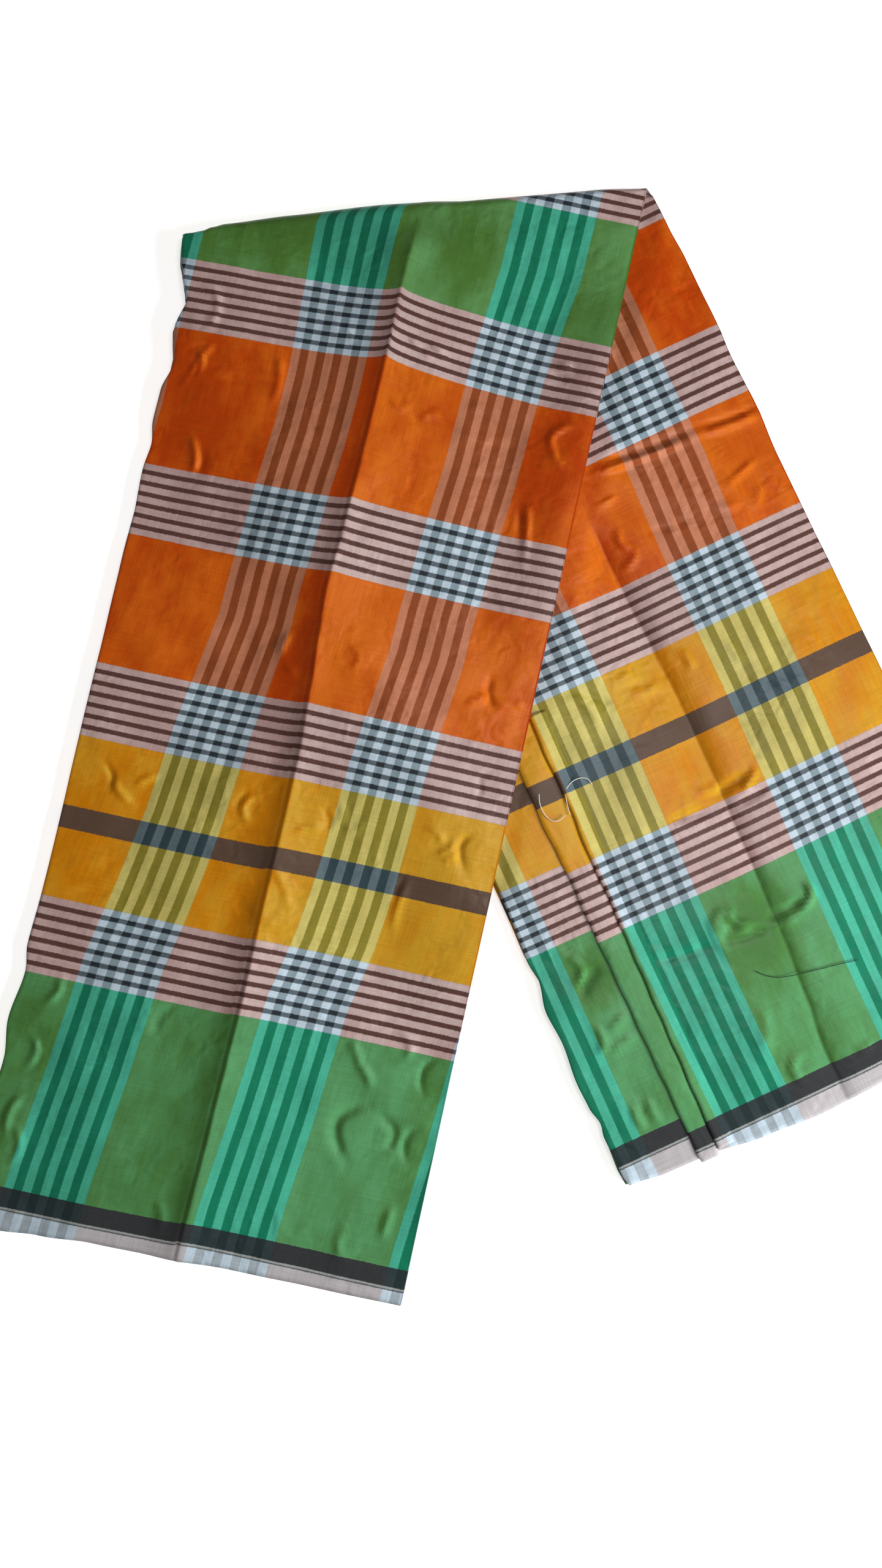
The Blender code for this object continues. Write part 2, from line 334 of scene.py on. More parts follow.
# %% Wrinkles of the two limbs
# Each is a short curved line through three places, as a ridge or, below 0, a furrow:
# across and down at the start, in the middle and at the end, height, half width, all in mm
OVER_WRINKLES = (
    (-109, 79, -100, 83, -104, 93, 0.5, 1.6),
    (-97, 110, -102, 119, -109, 136, 0.5, 2.0),
    (-105, 117, -101, 121, -102, 128, 0.6, 1.6),
    (-89, 128, -74, 127, -61, 127, -0.4, 2.0),
    (-60, 108, -56, 123, -57, 137, 0.6, 3.0),
    (-98, 165, -93, 174, -92, 185, 0.8, 2.4),
    (-92, 172, -88, 177, -90, 185, -0.6, 3.0),
    (115, 113, 102, 120, 105, 132, 0.9, 2.2),
    (104, 129, 107, 135, 113, 137, 0.7, 2.0),
    (96, 164, 99, 174, 102, 197, 0.7, 2.2),
    (93, 167, 95, 174, 96, 182, -0.6, 3.0),
    (56, 157, 69, 152, 85, 151, -0.4, 1.8),
    (12, 84, 15, 87, 19, 87, 0.8, 1.6),
    (20, 90, 23, 90, 26, 93, 0.8, 1.8),
    (24, 84, 27, 86, 30, 85, 0.7, 1.6),
    (27, 89, 31, 89, 34, 92, 0.8, 1.8),
    (97, 82, 100, 80, 104, 82, 1.1, 1.8),
    (93, 86, 98, 86, 103, 88, -0.9, 1.8),
    (80, 90, 87, 92, 94, 90, 0.6, 1.8),
    (10, 121, 14, 125, 19, 122, 0.6, 1.8),
    (28, 128, 32, 124, 37, 125, 0.6, 2.2),
    (22, 125, 25, 129, 29, 128, -0.5, 1.8),
    (52, 116, 60, 113, 70, 116, 0.5, 2.2),
    (50, 128, 62, 131, 76, 129, 0.5, 2.2),
    (22, 262, 29, 267, 24, 276, 0.3, 1.8),
    (13, 264, 14, 273, 21, 278, 0.2, 1.8),
    (19, 276, 25, 268, 16, 262, 0.5, 1.8),
    (-110, 82, -104, 82, -100, 87, 0.8, 1.8),
    (-104, 97, -100, 96, -99, 90, 0.8, 1.8),
    (-40, 85, -33, 85, -27, 88, 0.6, 2.0),
    (-26, 85, -22, 89, -18, 91, 0.7, 1.8),
    (-17, 263, -19, 269, -20, 275, 0.9, 2.4),
    (-17, 279, -12, 282, -9, 286, 0.5, 2.0),
    (99, 262, 98, 271, 104, 279, -0.9, 2.2),
    (88, 280, 94, 276, 99, 272, 0.7, 2.2),
    (103, 275, 112, 276, 120, 272, 0.6, 2.2),
    (107, 226, 114, 227, 120, 226, -0.4, 1.6),
    (109, 232, 116, 233, 120, 232, -0.3, 1.4),
    (-102, 356, -95, 362, -95, 369, -1.0, 2.0),
    (-94, 362, -90, 369, -80, 375, 0.9, 2.6),
    (-71, 356, -77, 360, -81, 364, 0.7, 2.2),
    (-102, 430, -87, 425, -72, 425, -0.4, 1.6),
    (-14, 355, -20, 362, -16, 370, 0.9, 2.2),
    (-18, 354, -22, 359, -22, 366, -0.5, 2.6),
    (11, 371, 18, 366, 26, 365, 0.6, 2.0),
    (23, 355, 28, 359, 26, 366, -0.7, 1.8),
    (32, 349, 35, 355, 33, 360, 0.5, 2.0),
    (37, 360, 44, 362, 47, 355, 0.5, 2.0),
    (107, 350, 102, 359, 109, 371, -1.1, 2.2),
    (90, 365, 96, 361, 99, 356, 0.8, 2.2),
    (83, 352, 89, 354, 92, 358, 0.6, 2.2),
    (93, 368, 98, 365, 102, 360, 0.7, 2.0),
    (103, 320, 106, 324, 105, 328, -0.7, 1.6),
    (104, 320, 106, 317, 109, 316, -0.5, 1.6),
    (-1, 428, 21, 426, 43, 424, -0.5, 1.8),
    (3, 425, 12, 419, 16, 416, 0.4, 2.4),
    (79, 383, 76, 395, 76, 411, 0.6, 2.4),
    (76, 380, 74, 387, 73, 394, -0.6, 1.8),
    (3, 393, 11, 398, 16, 409, 0.6, 3.0),
    (115, 473, 109, 482, 112, 493, -1.0, 2.0),
    (68, 474, 72, 480, 76, 487, 0.7, 2.6),
    (75, 486, 80, 490, 83, 495, 0.9, 2.8),
    (93, 465, 100, 470, 96, 480, 0.6, 2.6),
    (84, 506, 69, 519, 80, 538, -1.3, 3.4),
    (88, 509, 101, 516, 97, 528, -0.8, 2.6),
    (113, 512, 108, 520, 111, 530, -0.9, 2.4),
    (-97, 478, -95, 483, -101, 492, 0.9, 2.4),
    (-104, 511, -99, 517, -103, 528, 0.9, 2.2),
    (-100, 542, -105, 552, -104, 564, 1.0, 2.6),
    (-101, 559, -95, 568, -98, 578, 0.7, 2.6),
    (-30, 476, -38, 486, -36, 495, -0.5, 2.6),
    (109, 556, 108, 564, 107, 571, 0.8, 2.8),
    (127, 560, 132, 569, 140, 577, 0.6, 2.6),
    (-17, 580, -11, 587, -12, 595, 0.5, 3.0),
    (48, 572, 52, 577, 51, 585, 0.5, 2.4),
    (86, 573, 85, 582, 90, 588, 0.5, 2.6),
    (104, -34, 114, -35, 123, -32, 0.4, 1.6),
    (5, 11, 27, 11, 48, 9, -0.3, 2.0),
)
# Wrinkles of the under limb
UNDER_WRINKLES = (
    (17, 178, 51, 183, 89, 184, -0.9, 1.8),
    (89, 184, 107, 187, 124, 187, -0.7, 1.8),
    (15, 183, 49, 188, 88, 189, 1.1, 2.6),
    (88, 189, 106, 191, 123, 191, 0.9, 2.6),
    (14, 203, 21, 203, 29, 202, 0.5, 1.8),
    (-4, 207, 2, 206, 7, 203, 0.6, 2.0),
    (22, 221, 20, 228, 25, 234, 0.7, 2.2),
    (26, 235, 22, 240, 15, 242, 0.6, 2.2),
    (37, 228, 52, 231, 64, 230, -0.5, 2.0),
    (52, 228, 52, 231, 51, 235, 0.6, 2.0),
    (86, 224, 98, 219, 110, 215, 0.5, 2.4),
    (105, 228, 103, 234, 98, 239, 0.4, 2.4),
    (81, 231, 86, 234, 91, 235, 0.4, 1.8),
    (-45, 296, -35, 304, -34, 320, 0.8, 2.6),
    (-38, 294, -30, 302, -22, 309, -0.7, 2.2),
    (-16, 301, -10, 298, -4, 300, 0.7, 2.4),
    (-9, 309, -2, 310, 7, 309, 0.6, 2.4),
    (23, 298, 27, 303, 26, 310, 0.6, 2.6),
    (50, 304, 53, 311, 52, 318, 0.5, 2.2),
    (10, 379, 20, 377, 30, 376, -1.0, 3.0),
    (36, 375, 30, 379, 23, 383, 1.0, 2.2),
    (0, 374, 7, 375, 14, 375, 0.6, 2.2),
    (33, 442, 33, 451, 22, 456, 1.3, 2.4),
    (9, 451, 18, 452, 27, 451, -1.1, 2.4),
    (22, 457, 13, 458, 6, 456, 0.8, 2.6),
    (-9, 439, -12, 446, 1, 454, 1.1, 2.4),
    (-7, 453, -2, 456, 3, 459, -1.0, 2.4),
    (-23, 453, -14, 456, -3, 458, -0.9, 2.2),
    (-12, 438, -20, 443, -16, 456, 0.9, 3.2),
    (-22, 438, -24, 450, -22, 462, 0.7, 2.0),
    (-63, 447, -44, 452, -26, 453, -0.7, 2.4),
    (-21, 382, -9, 383, 2, 385, -0.9, 2.4),
    (18, 388, 27, 388, 37, 386, -0.9, 2.2),
    (-9, 446, -16, 450, -21, 452, -0.8, 3.2),
    (-104, 427, -99, 436, -106, 442, 0.9, 2.0),
    (-89, 438, -98, 443, -106, 450, -0.9, 3.2),
    (-106, 467, -104, 476, -110, 482, 0.9, 2.4),
    (-100, 472, -94, 471, -87, 467, 0.8, 2.6),
    (-102, 483, -96, 482, -87, 480, 0.7, 2.6),
    (-103, 514, -105, 521, -103, 528, 0.8, 2.4),
    (-95, 514, -96, 521, -94, 527, 0.7, 2.4),
    (-10, 526, -16, 532, -13, 542, 0.9, 2.4),
    (21, 535, 24, 538, 30, 536, 0.6, 2.4),
    (-18, 493, -20, 506, -29, 517, 0.5, 4.0),
    (-60, 416, -56, 421, -52, 422, 0.5, 2.2),
)
WRINKLE_PARTS = 8
OVER_GAIN, UNDER_GAIN = 1.3, 1.4     # for each whole table
WRINKLE_WIDTH = 0.8
DEEPEST = 0.0009             # the face's furrows stay above the pass below
CREASE_GROOVE = 0.0004       # a thin furrow just left of the over limb's crease
GROOVE_AT, GROOVE_REACH = -0.0016, 0.0011


def curve_through(start, middle, end, share):
    """Places on the smooth curve that passes the middle place half way along."""
    bend = 2 * middle - (start + end) / 2
    share = share[:, None]
    return (1 - share) ** 2 * start + 2 * share * (1 - share) * bend + share ** 2 * end


def wrinkle_height(table, across, down):
    """Height that all the wrinkles of a limb add to each place on it."""
    total = np.zeros(np.broadcast(across, down).shape)
    shares = np.linspace(0, 1, WRINKLE_PARTS + 1)
    for *places, height, half_width in table:
        start, middle, end = np.array(places, dtype=float).reshape(3, 2) / 1000
        line = curve_through(start, middle, end, shares)
        reach = 2.5 * half_width / 1000
        near = (across > line[:, 0].min() - reach) & (across < line[:, 0].max() + reach)
        near &= (down > line[:, 1].min() - reach) & (down < line[:, 1].max() + reach)
        spot = np.stack([across[near], down[near]], axis=-1)
        nearest = np.full(len(spot), 1.0)
        fullness = np.zeros(len(spot))
        for i in range(WRINKLE_PARTS):
            part = line[i + 1] - line[i]
            along = np.clip((spot - line[i]) @ part / (part @ part), 0, 1)
            distance = np.hypot(*(spot - line[i] - along[:, None] * part).T)
            share = (i + along) / WRINKLE_PARTS
            closer = distance < nearest
            nearest = np.where(closer, distance, nearest)
            fullness = np.where(closer, smooth(4 * share) * smooth(4 * (1 - share)), fullness)
        profile = np.exp(-((nearest * 1000 / half_width / WRINKLE_WIDTH) ** 2))
        total[near] += height / 1000 * profile * (0.25 + 0.75 * fullness)
    return total


def bounded(detail):
    """The same heights, with the deep ones eased so that they never reach the pass below."""
    return np.where(detail < 0, -DEEPEST * np.tanh(-detail / DEEPEST), detail)


print(len(OVER_WRINKLES), "wrinkles on the over limb,", len(UNDER_WRINKLES), "on the under")


# %% The relief of each limb
def over_form(across, down):
    """What all the passes of the over limb follow."""
    return crease_height(over, across, down, OVER_CREASE_FALL) + edge_height(across) \
        + lifted_edge(across, down)


def over_detail(across, down):
    """What only its face has."""
    wrinkles = OVER_GAIN * wrinkle_height(OVER_WRINKLES, across, down)
    beside = across - over.crease_at(down)
    groove = -CREASE_GROOVE * np.exp(-((beside - GROOVE_AT) / GROOVE_REACH) ** 2) \
        * smooth(down / 0.2)
    return bounded(puff_height(across, down, 0.4) + wrinkles + groove)


def under_form(across, down):
    beside = over.across_of(under.plan(across, down)) - STRIP_WIDTH / 2
    low = smooth((down - LOW_FROM) / LOW_OVER)
    fall = [(1 - low) * a + low * b for a, b in zip(UNDER_CREASE_FALL, UNDER_LOW_FALL)]
    return crease_height(under, across, down, fall) + edge_height(across) \
        + BESIDE_PUFF * np.exp(-((beside - BESIDE_PUFF_AT) / BESIDE_PUFF_REACH) ** 2)


def under_detail(across, down):
    wrinkles = UNDER_GAIN * wrinkle_height(UNDER_WRINKLES, across, down)
    return bounded(puff_height(across, down, 2.2) + wrinkles)


print(f"furrows stop {DEEPEST * 1000:.1f} mm down")

# %% [markdown]
# ## How the tube is folded
#
# Lying double and folded in half twice, the tube makes eight passes across the strip. Pass 1
# is the face of the over limb, pass 8 its underside, and they meet in one wide nose on the
# right. On the left there are three noses: passes 1 to 4, 5 to 6 and 7 to 8. A cross-section
# is written as a list of stations along the cloth. Each says how far to the side it is
# (`side`, -1 to 1, with 0 on the crease), how far in from the edge, at what share of the
# pile's height, and which of the three edges it belongs to.
#
# Eight separate sheets would look alike from above, but their ends would hang open at the
# sides. One folded path gives round noses and the right ends at the hems.

# %% Stations along a cross-section
NOSE_STEPS = 6
NOSE_STRETCH = 1.25          # a nose reaches in further than a half circle would
LAYER_STEP = 1.0 / LAYERS
SLACK_STEP = 0.0007          # how far each nested nose stands in from the next
WIDE_NOSE_REACH = 0.0007     # the wide nose on the right is pressed nearly square
TOP_EDGE, MIDDLE_EDGE, BOTTOM_EDGE = 0, 1, 2
# upper pass, lower pass, side, edge, how many noses lie outside it
NOSES = (
    (1, 4, -1, TOP_EDGE, 0),
    (2, 3, -1, TOP_EDGE, 1),
    (5, 6, -1, MIDDLE_EDGE, 0),
    (7, 8, -1, BOTTOM_EDGE, 0),
    (1, 8, 1, TOP_EDGE, 0),
    (2, 7, 1, TOP_EDGE, 1),
    (3, 6, 1, TOP_EDGE, 2),
    (4, 5, 1, TOP_EDGE, 3),
)


def level_of(pass_number):
    return 1 - (pass_number - 0.5) * LAYER_STEP


def nose_of(pass_number, side):
    return next(nose for nose in NOSES if pass_number in nose[:2] and side == nose[2])


def nose_inset(nose):
    """How far in from the edge a nose starts to turn down."""
    upper, lower, side, _, outside = nose
    if side > 0 and outside == 0:
        return WIDE_NOSE_REACH
    radius = (lower - upper) * LAYER_STEP * STACK / 2
    return NOSE_STRETCH * radius + outside * SLACK_STEP


def uneven(places, steps):
    """Stations that lie close where much happens: places, with the step size from each on."""
    stations = [np.array([places[0]])]
    for start, end, step in zip(places[:-1], places[1:], steps):
        count = max(1, round(abs(end - start) / step))
        stations.append(np.linspace(start, end, count + 1)[1:])
    return np.concatenate(stations)


def pass_stations(number, start, end, columns):
    """Stations across one pass, from one side share to another, or at the shares given."""
    left, right = nose_of(number, -1), nose_of(number, 1)
    shares = np.linspace(start, end, columns + 1) if np.isscalar(columns) else columns
    inset = np.where(shares < 0, nose_inset(left), nose_inset(right))
    edge = np.full(shares.shape, left[3])
    level = np.full(shares.shape, level_of(number))
    return np.stack([shares, inset, level, edge], axis=-1)


def nose_stations(nose, downwards, steps=NOSE_STEPS):
    """Stations round a nose, without the two that its passes already have."""
    upper, lower, side, edge, outside = nose
    angles = np.linspace(pi / 2, -pi / 2, steps + 1)[1:-1]
    if not downwards:
        angles = angles[::-1]
    middle = (level_of(upper) + level_of(lower)) / 2
    half = (level_of(upper) - level_of(lower)) / 2
    reach = nose_inset(nose) - outside * SLACK_STEP
    inset = outside * SLACK_STEP + reach * (1 - np.cos(angles))
    filled = np.ones(angles.shape)
    return np.stack([side * filled, inset, middle + half * np.sin(angles), edge * filled], axis=-1)


TUCK = -0.90                 # side share at which the outer cloth ends, under its first nose


def outer_section(face_columns, back_columns, face):
    """The outer cloth: pass 1 and pass 8, with the noses that wrap the strip."""
    columns = {1: back_columns, 8: back_columns}
    columns[face] = face_columns
    return np.concatenate([
        pass_stations(4, TUCK, -1, 3),
        nose_stations(nose_of(1, -1), downwards=False),
        pass_stations(1, -1, 1, columns[1]),
        nose_stations(nose_of(1, 1), downwards=True, steps=8),
        pass_stations(8, 1, -1, columns[8]),
        nose_stations(nose_of(8, -1), downwards=False),
        pass_stations(7, -1, TUCK, 3),
    ])


def inner_section(shares):
    """The six passes inside, in one run from pass 7 to pass 4, at shares that rise."""
    tucked = np.concatenate([[TUCK], shares[shares > TUCK]])
    return np.concatenate([
        pass_stations(7, TUCK, 1, tucked),
        nose_stations(nose_of(7, 1), downwards=False),
        pass_stations(2, 1, -1, shares[::-1]),
        nose_stations(nose_of(2, -1), downwards=True, steps=4),
        pass_stations(3, -1, 1, shares),
        nose_stations(nose_of(3, 1), downwards=True),
        pass_stations(6, 1, -1, shares[::-1]),
        nose_stations(nose_of(6, -1), downwards=False, steps=4),
        pass_stations(5, -1, 1, shares),
        nose_stations(nose_of(5, 1), downwards=False, steps=4),
        pass_stations(4, 1, TUCK, tucked[::-1]),
    ])


HIDDEN_COLUMNS = 12          # across the outer pass that faces down
# across a face, as shares of the half width: dense at the buckles and at the crease
OVER_COLUMNS = uneven((-1, -0.70, -0.45, -0.33, -0.06, 0.0, 0.06, 0.40, 0.54, 0.996, 1),
                      (0.0120, 0.0140, 0.024, 0.0140, 0.0080, 0.0090, 0.0150, 0.024, 0.0127,
                       0.0040))
UNDER_COLUMNS = uneven((1, 0.996, 0.56, 0.30, 0.06, 0.0, -0.06, -0.40, -0.72, -1),
                       (0.0040, 0.0160, 0.0170, 0.0150, 0.0090, 0.0090, 0.0160, 0.024, 0.0140))
INNER_COLUMNS = uneven((-1, -0.30, 0.0, 0.30, 1), (0.14, 0.075, 0.075, 0.14))

stations = outer_section(OVER_COLUMNS, HIDDEN_COLUMNS, face=1)
print("stations round the outer cloth:", len(stations))

# %% [markdown]
# ## Laying a cross-section along the strip
#
# A row of the cloth is its cross-section at one share `q` of the way from the fold to the hem.
# Round the roll the same cross-section turns over about a line in the gap between the limbs,
# so its outer passes go the long way round and its inner ones hardly move.

# %% Rows on a limb and round the roll
# How far the middle and bottom noses stand past the top one, in millimetres:
# down (m), middle, bottom
EDGE_SLIP = (
    (0.000, -0.6, 0.3),
    (0.060, 0.7, -0.9),
    (0.110, 1.1, 0.2),
    (0.170, -0.8, -1.2),
    (0.230, 0.9, 1.0),
    (0.300, -1.1, 0.4),
    (0.380, 0.5, -0.8),
    (0.450, 0.8, 1.2),
    (0.500, -0.7, 0.8),
    (0.560, 0.9, -0.6),
    (0.620, -0.4, 0.5),
)
# How far each pass ends short of the hem line, in millimetres: pass, over, under
HEM_SHORT = (
    (1, 0.0, 1.4),
    (2, 0.9, 0.6),
    (3, 0.4, 1.8),
    (4, 1.6, 1.0),
    (5, 0.7, 0.3),
    (6, 1.9, 1.3),
    (7, 1.2, 0.5),
    (8, 0.6, 0.0),
)


def across_at(limb, section, down):
    """Where each station lies across a limb."""
    side, inset, _, edge = np.moveaxis(section, -1, 0)
    left, right = limb.edges(down)
    slip = np.where(edge == MIDDLE_EDGE, read_table(EDGE_SLIP, down, 1), 0.0)
    slip = np.where(edge == BOTTOM_EDGE, read_table(EDGE_SLIP, down, 2), slip)
    outer = np.where(side < 0, left - slip + inset, right - inset)
    return blend(limb.crease_at(down), outer, np.abs(side))


def limb_rows(limb, section, shares):
    """Across and down for every station at each share of the way from the fold to the hem."""
    side, _, level, _ = np.moveaxis(section, -1, 0)
    straight = side * STRIP_WIDTH / 2
    pass_number = LAYERS * (1 - level) + 0.5
    short = read_table(HEM_SHORT, pass_number, limb.column)
    hem = limb.hem_at(straight) - short
    shares = shares[:, None]
    down = blend(limb.fold_at(straight), hem, shares)
    for _ in range(2):
        across = across_at(limb, section, down)
        down = blend(limb.fold_at(across), hem, shares)
    return across, down


FACE_LEVEL = 0.9             # only the face lies higher than this share of the pile
INNER_CLEAR = 0.0009         # the passes inside keep this far below the face's hollows
FROM_FOLD = 22               # the over limb's relief grows over the first 22nd of its length


def pass_heights(level, form, detail):
    """Height of each station over the limb's base: the pile bends, only the face buckles."""
    on_face = level > FACE_LEVEL
    bent = STACK * level + form * level
    return np.where(on_face, bent + detail, bent - INNER_CLEAR * level)


def over_points(section, shares):
    """Points of the over limb, whose pass 1 is on top."""
    across, down = limb_rows(over, section, shares)
    plan = over.plan(across, down)
    bare = smooth(FROM_FOLD * shares)[:, None]
    height = over_base(plan) + pass_heights(section[:, 2], over_form(across, down) * bare,
                                            over_detail(across, down) * bare)
    return np.concatenate([plan, height[..., None]], axis=-1), across, down


def under_points(section, shares):
    """Points of the under limb, which lies with pass 8 on top."""
    across, down = limb_rows(under, section, shares)
    plan = under.plan(across, down)
    bare = under_bare(plan)
    height = pass_heights(1 - section[:, 2], under_form(across, down) * bare,
                          under_detail(across, down) * bare)
    return np.concatenate([plan, height[..., None]], axis=-1), across, down


def roll_points(section, angles):
    """Points round the roll, from the over limb (90 degrees) down to the under limb (-90)."""
    start = np.zeros((1,))
    over_across, over_down = (grid[0] for grid in limb_rows(over, section, start))
    under_across, under_down = (grid[0] for grid in limb_rows(under, section, start))
    above = over.plan(over_across, over_down)
    below = under.plan(under_across, under_down)
    turned = ((pi / 2 - angles) / pi)[:, None]
    foot = blend(above[None], below[None], smooth(turned)[..., None])
    along = ((foot - FOLD_MIDDLE) @ ALONG_FOLD) / (2 * HALF_FOLD) + 0.5
    radius = GAP / 2 + STACK * section[:, 2]
    share = radius / ROLL_RADIUS
    reach = (ROLL_REACH + read_table(CREST, along, 1)) * share
    past = reach * np.cos(angles)[:, None]
    plan = foot + past[..., None] * PAST_FOLD
    height = ROLL_RADIUS + radius * np.sin(angles)[:, None]
    arc = np.concatenate([np.zeros((1, len(section))), np.cumsum(np.hypot(
        np.diff(past, axis=0), np.diff(height, axis=0)), axis=0)])
    across = over_across + arc * (PAST_FOLD @ over.across)
    down = over_down + arc * (PAST_FOLD @ over.down)
    return np.concatenate([plan, height[..., None]], axis=-1), across, down


print(f"the roll turns over at {ROLL_RADIUS * 1000:.2f} mm above the table")

# %% [markdown]
# ## Where the threads lie
#
# Each vertex gets two coordinates in metres: along u the distance that the warp stripes are
# counted in, and along v the distance from the middle of the cloth that the weft bands are
# counted in. The warp stripes drift across the strip, because the tube was not folded
# exactly on the thread.

# %% Thread coordinates
STRIPE_PERIOD = 0.1055
STRIPE_WIDTH = 5.0           # mm, of a warp stripe
STRIPES = 9
# Middles of the two groups of warp stripes across a limb, in millimetres:
# down (m), left group, right group
OVER_WARP = (
    (-0.060, -33.5, 76.5),
    (0.030, -33.6, 75.0),
    (0.090, -32.0, 69.0),
    (0.120, -31.2, 68.0),
    (0.150, -31.8, 67.0),
    (0.180, -34.0, 64.8),
    (0.235, -37.4, 61.2),
    (0.260, -38.0, 60.6),
    (0.325, -46.8, 53.6),
    (0.375, -50.8, 51.0),
    (0.400, -54.0, 49.2),
    (0.425, -57.6, 46.4),
    (0.460, -64.0, 39.6),
    (0.520, -68.8, 35.3),
    (0.577, -74.8, 29.8),
    (0.620, -77.5, 27.5),
)
UNDER_WARP = (
    (0.000, -41.0, 66.0),
    (0.160, -41.4, 63.4),
    (0.200, -43.9, 63.2),
    (0.240, -44.4, 61.4),
    (0.290, -43.6, 60.6),
    (0.345, -44.0, 60.6),
    (0.400, -45.2, 59.4),
    (0.430, -46.0, 58.2),
    (0.500, -45.4, 56.5),
    (0.560, -43.8, 56.0),
)
# Weft bands: millimetres from the middle of the cloth, then down the over limb at its left
# edge, crease and right edge, all in millimetres
OVER_WEFT = (
    (-78.0, -52.0, -52.0, -52.0),
    (-37.2, -10.5, -10.5, -10.5),
    (37.2, 64.7, 54.8, 64.4),
    (78.0, 105.4, 95.9, 106.3),
    (161.2, 185.0, 180.6, 182.9),
    (202.0, 226.4, 224.3, 225.8),
    (279.0, 301.7, 298.5, 299.0),
    (319.8, 343.7, 341.7, 341.1),
    (358.3, 383.2, 380.7, 378.6),
    (370.8, 396.0, 393.2, 391.4),
    (409.2, 434.3, 432.4, 430.5),
    (450.0, 476.9, 474.3, 472.3),
    (566.0, 592.1, 588.0, 586.5),
    (576.6, 602.8, 598.4, 597.1),
    (596.6, 622.8, 618.4, 617.1),
)
# The same down the under limb: left of the seam, right of it, and at the right edge
UNDER_WEFT = (
    (0.0, -12.0, -12.0, -15.0),
    (37.2, 25.6, 25.6, 22.6),
    (78.0, 67.6, 67.6, 64.6),
    (161.2, 137.3, 137.3, 134.3),
    (202.0, 179.9, 179.9, 176.9),
    (279.0, 250.8, 250.8, 247.8),
    (319.8, 292.1, 292.1, 289.1),
    (358.3, 329.2, 331.3, 328.3),
    (370.8, 341.8, 344.6, 341.6),
    (409.2, 379.6, 383.4, 380.4),
    (450.0, 418.8, 425.1, 422.1),
    (566.0, 530.6, 537.7, 533.9),
    (576.6, 541.3, 548.3, 544.9),
    (596.6, 561.3, 568.3, 564.9),
)
CUSP = 0.4                   # below 1, the weft bends most beside the crease
LEFT_OPENS, RIGHT_CLOSES = 0.15, 0.04     # how the warp is strained outside the two groups
OPENS_FROM, OPENS_OVER = 0.02, 0.10       # m down
SEAM_LINE = -0.0770          # across the under limb, under the middle of the seam
SEAM_PART_SHIFT = 0.1295 + STRIPE_PERIOD / 2   # warp stripes left of the seam


def weft_at(table, down, columns, shares):
    """The weft coordinate at each length down, between two columns of a table."""
    rows = np.array(table, dtype=float) / 1000
    near = np.interp(down, rows[:, columns[0]], rows[:, 0])
    far = np.interp(down, rows[:, columns[1]], rows[:, 0])
    return blend(near, far, shares)


def groups_at(table, down):
    """Middles of the two groups of warp stripes at each length down."""
    rows = np.array(table)
    return np.interp(down, rows[:, 0], rows[:, 1]) / 1000, \
        np.interp(down, rows[:, 0], rows[:, 2]) / 1000


def over_threads(run, across, down):
    left, right = groups_at(OVER_WARP, down)
    warp = (run - (left + right) / 2) * STRIPE_PERIOD / (right - left)
    group_half = STRIPES * STRIPE_WIDTH / 2000
    opens = LEFT_OPENS * smooth((down - OPENS_FROM) / OPENS_OVER)
    warp += opens * np.clip(left - group_half - run, 0, None)
    warp -= RIGHT_CLOSES * np.clip(run - right - group_half, 0, None)
    share = (np.clip(np.abs(across) / (STRIP_WIDTH / 2), 0, 1)) ** CUSP
    weft = np.where(across < 0, weft_at(OVER_WEFT, down, (2, 1), share),
                    weft_at(OVER_WEFT, down, (2, 3), share))
    return warp, weft


def under_threads(run, across, down):
    left, right = groups_at(UNDER_WARP, down)
    warp = (run - (left + right) / 2) * STRIPE_PERIOD / (right - left)
    share = smooth(across / (STRIP_WIDTH / 2))
    weft = weft_at(UNDER_WEFT, down, (2, 3), share)
    left_of_seam = across < SEAM_LINE
    warp = np.where(left_of_seam, run + SEAM_PART_SHIFT, warp)
    weft = np.where(left_of_seam, weft_at(UNDER_WEFT, down, (1, 1), share), weft)
    return warp, -weft


print(f"groups of warp stripes every {STRIPE_PERIOD * 1000:.1f} mm")

# %% [markdown]
# ## From points to cloth
#
# A sheet of cloth starts as a flat grid, as it left the loom. Its vertices are then laid where
# the folded cloth has them, its thread coordinates go into a UV map, and Solidify gives it
# the thickness of one layer. Modelling it as a solid slab would lose the open hems.
#
# Each vertex also gets a number for painted light and shade: how lit its plain colour is
# painted. It is worked out from how the face slopes towards the low lamp, and soft patches of
# painted shade and painted sheen are added where the cloth lies in shade or catches the light.
# Noise alone would put them anywhere.

# %% Distance along the cloth
def run_along(across, section, face):
    """Distance along the cloth of every station, measured on the face that shows."""
    steps = np.hypot(np.diff(across, axis=1), STACK * np.diff(section[:, 2]))
    run = np.concatenate([np.zeros((len(across), 1)), np.cumsum(steps, axis=1)], axis=1)
    on_face = np.isclose(section[:, 2], level_of(face))
    middle = np.flatnonzero(on_face)[np.argmin(np.abs(section[on_face, 0]))]
    run = run - run[:, [middle]]
    return across[:, [middle]] + (run if face == 1 else -run)


print(f"counted from the middle of a strip {STRIP_WIDTH * 1000:.0f} mm wide")
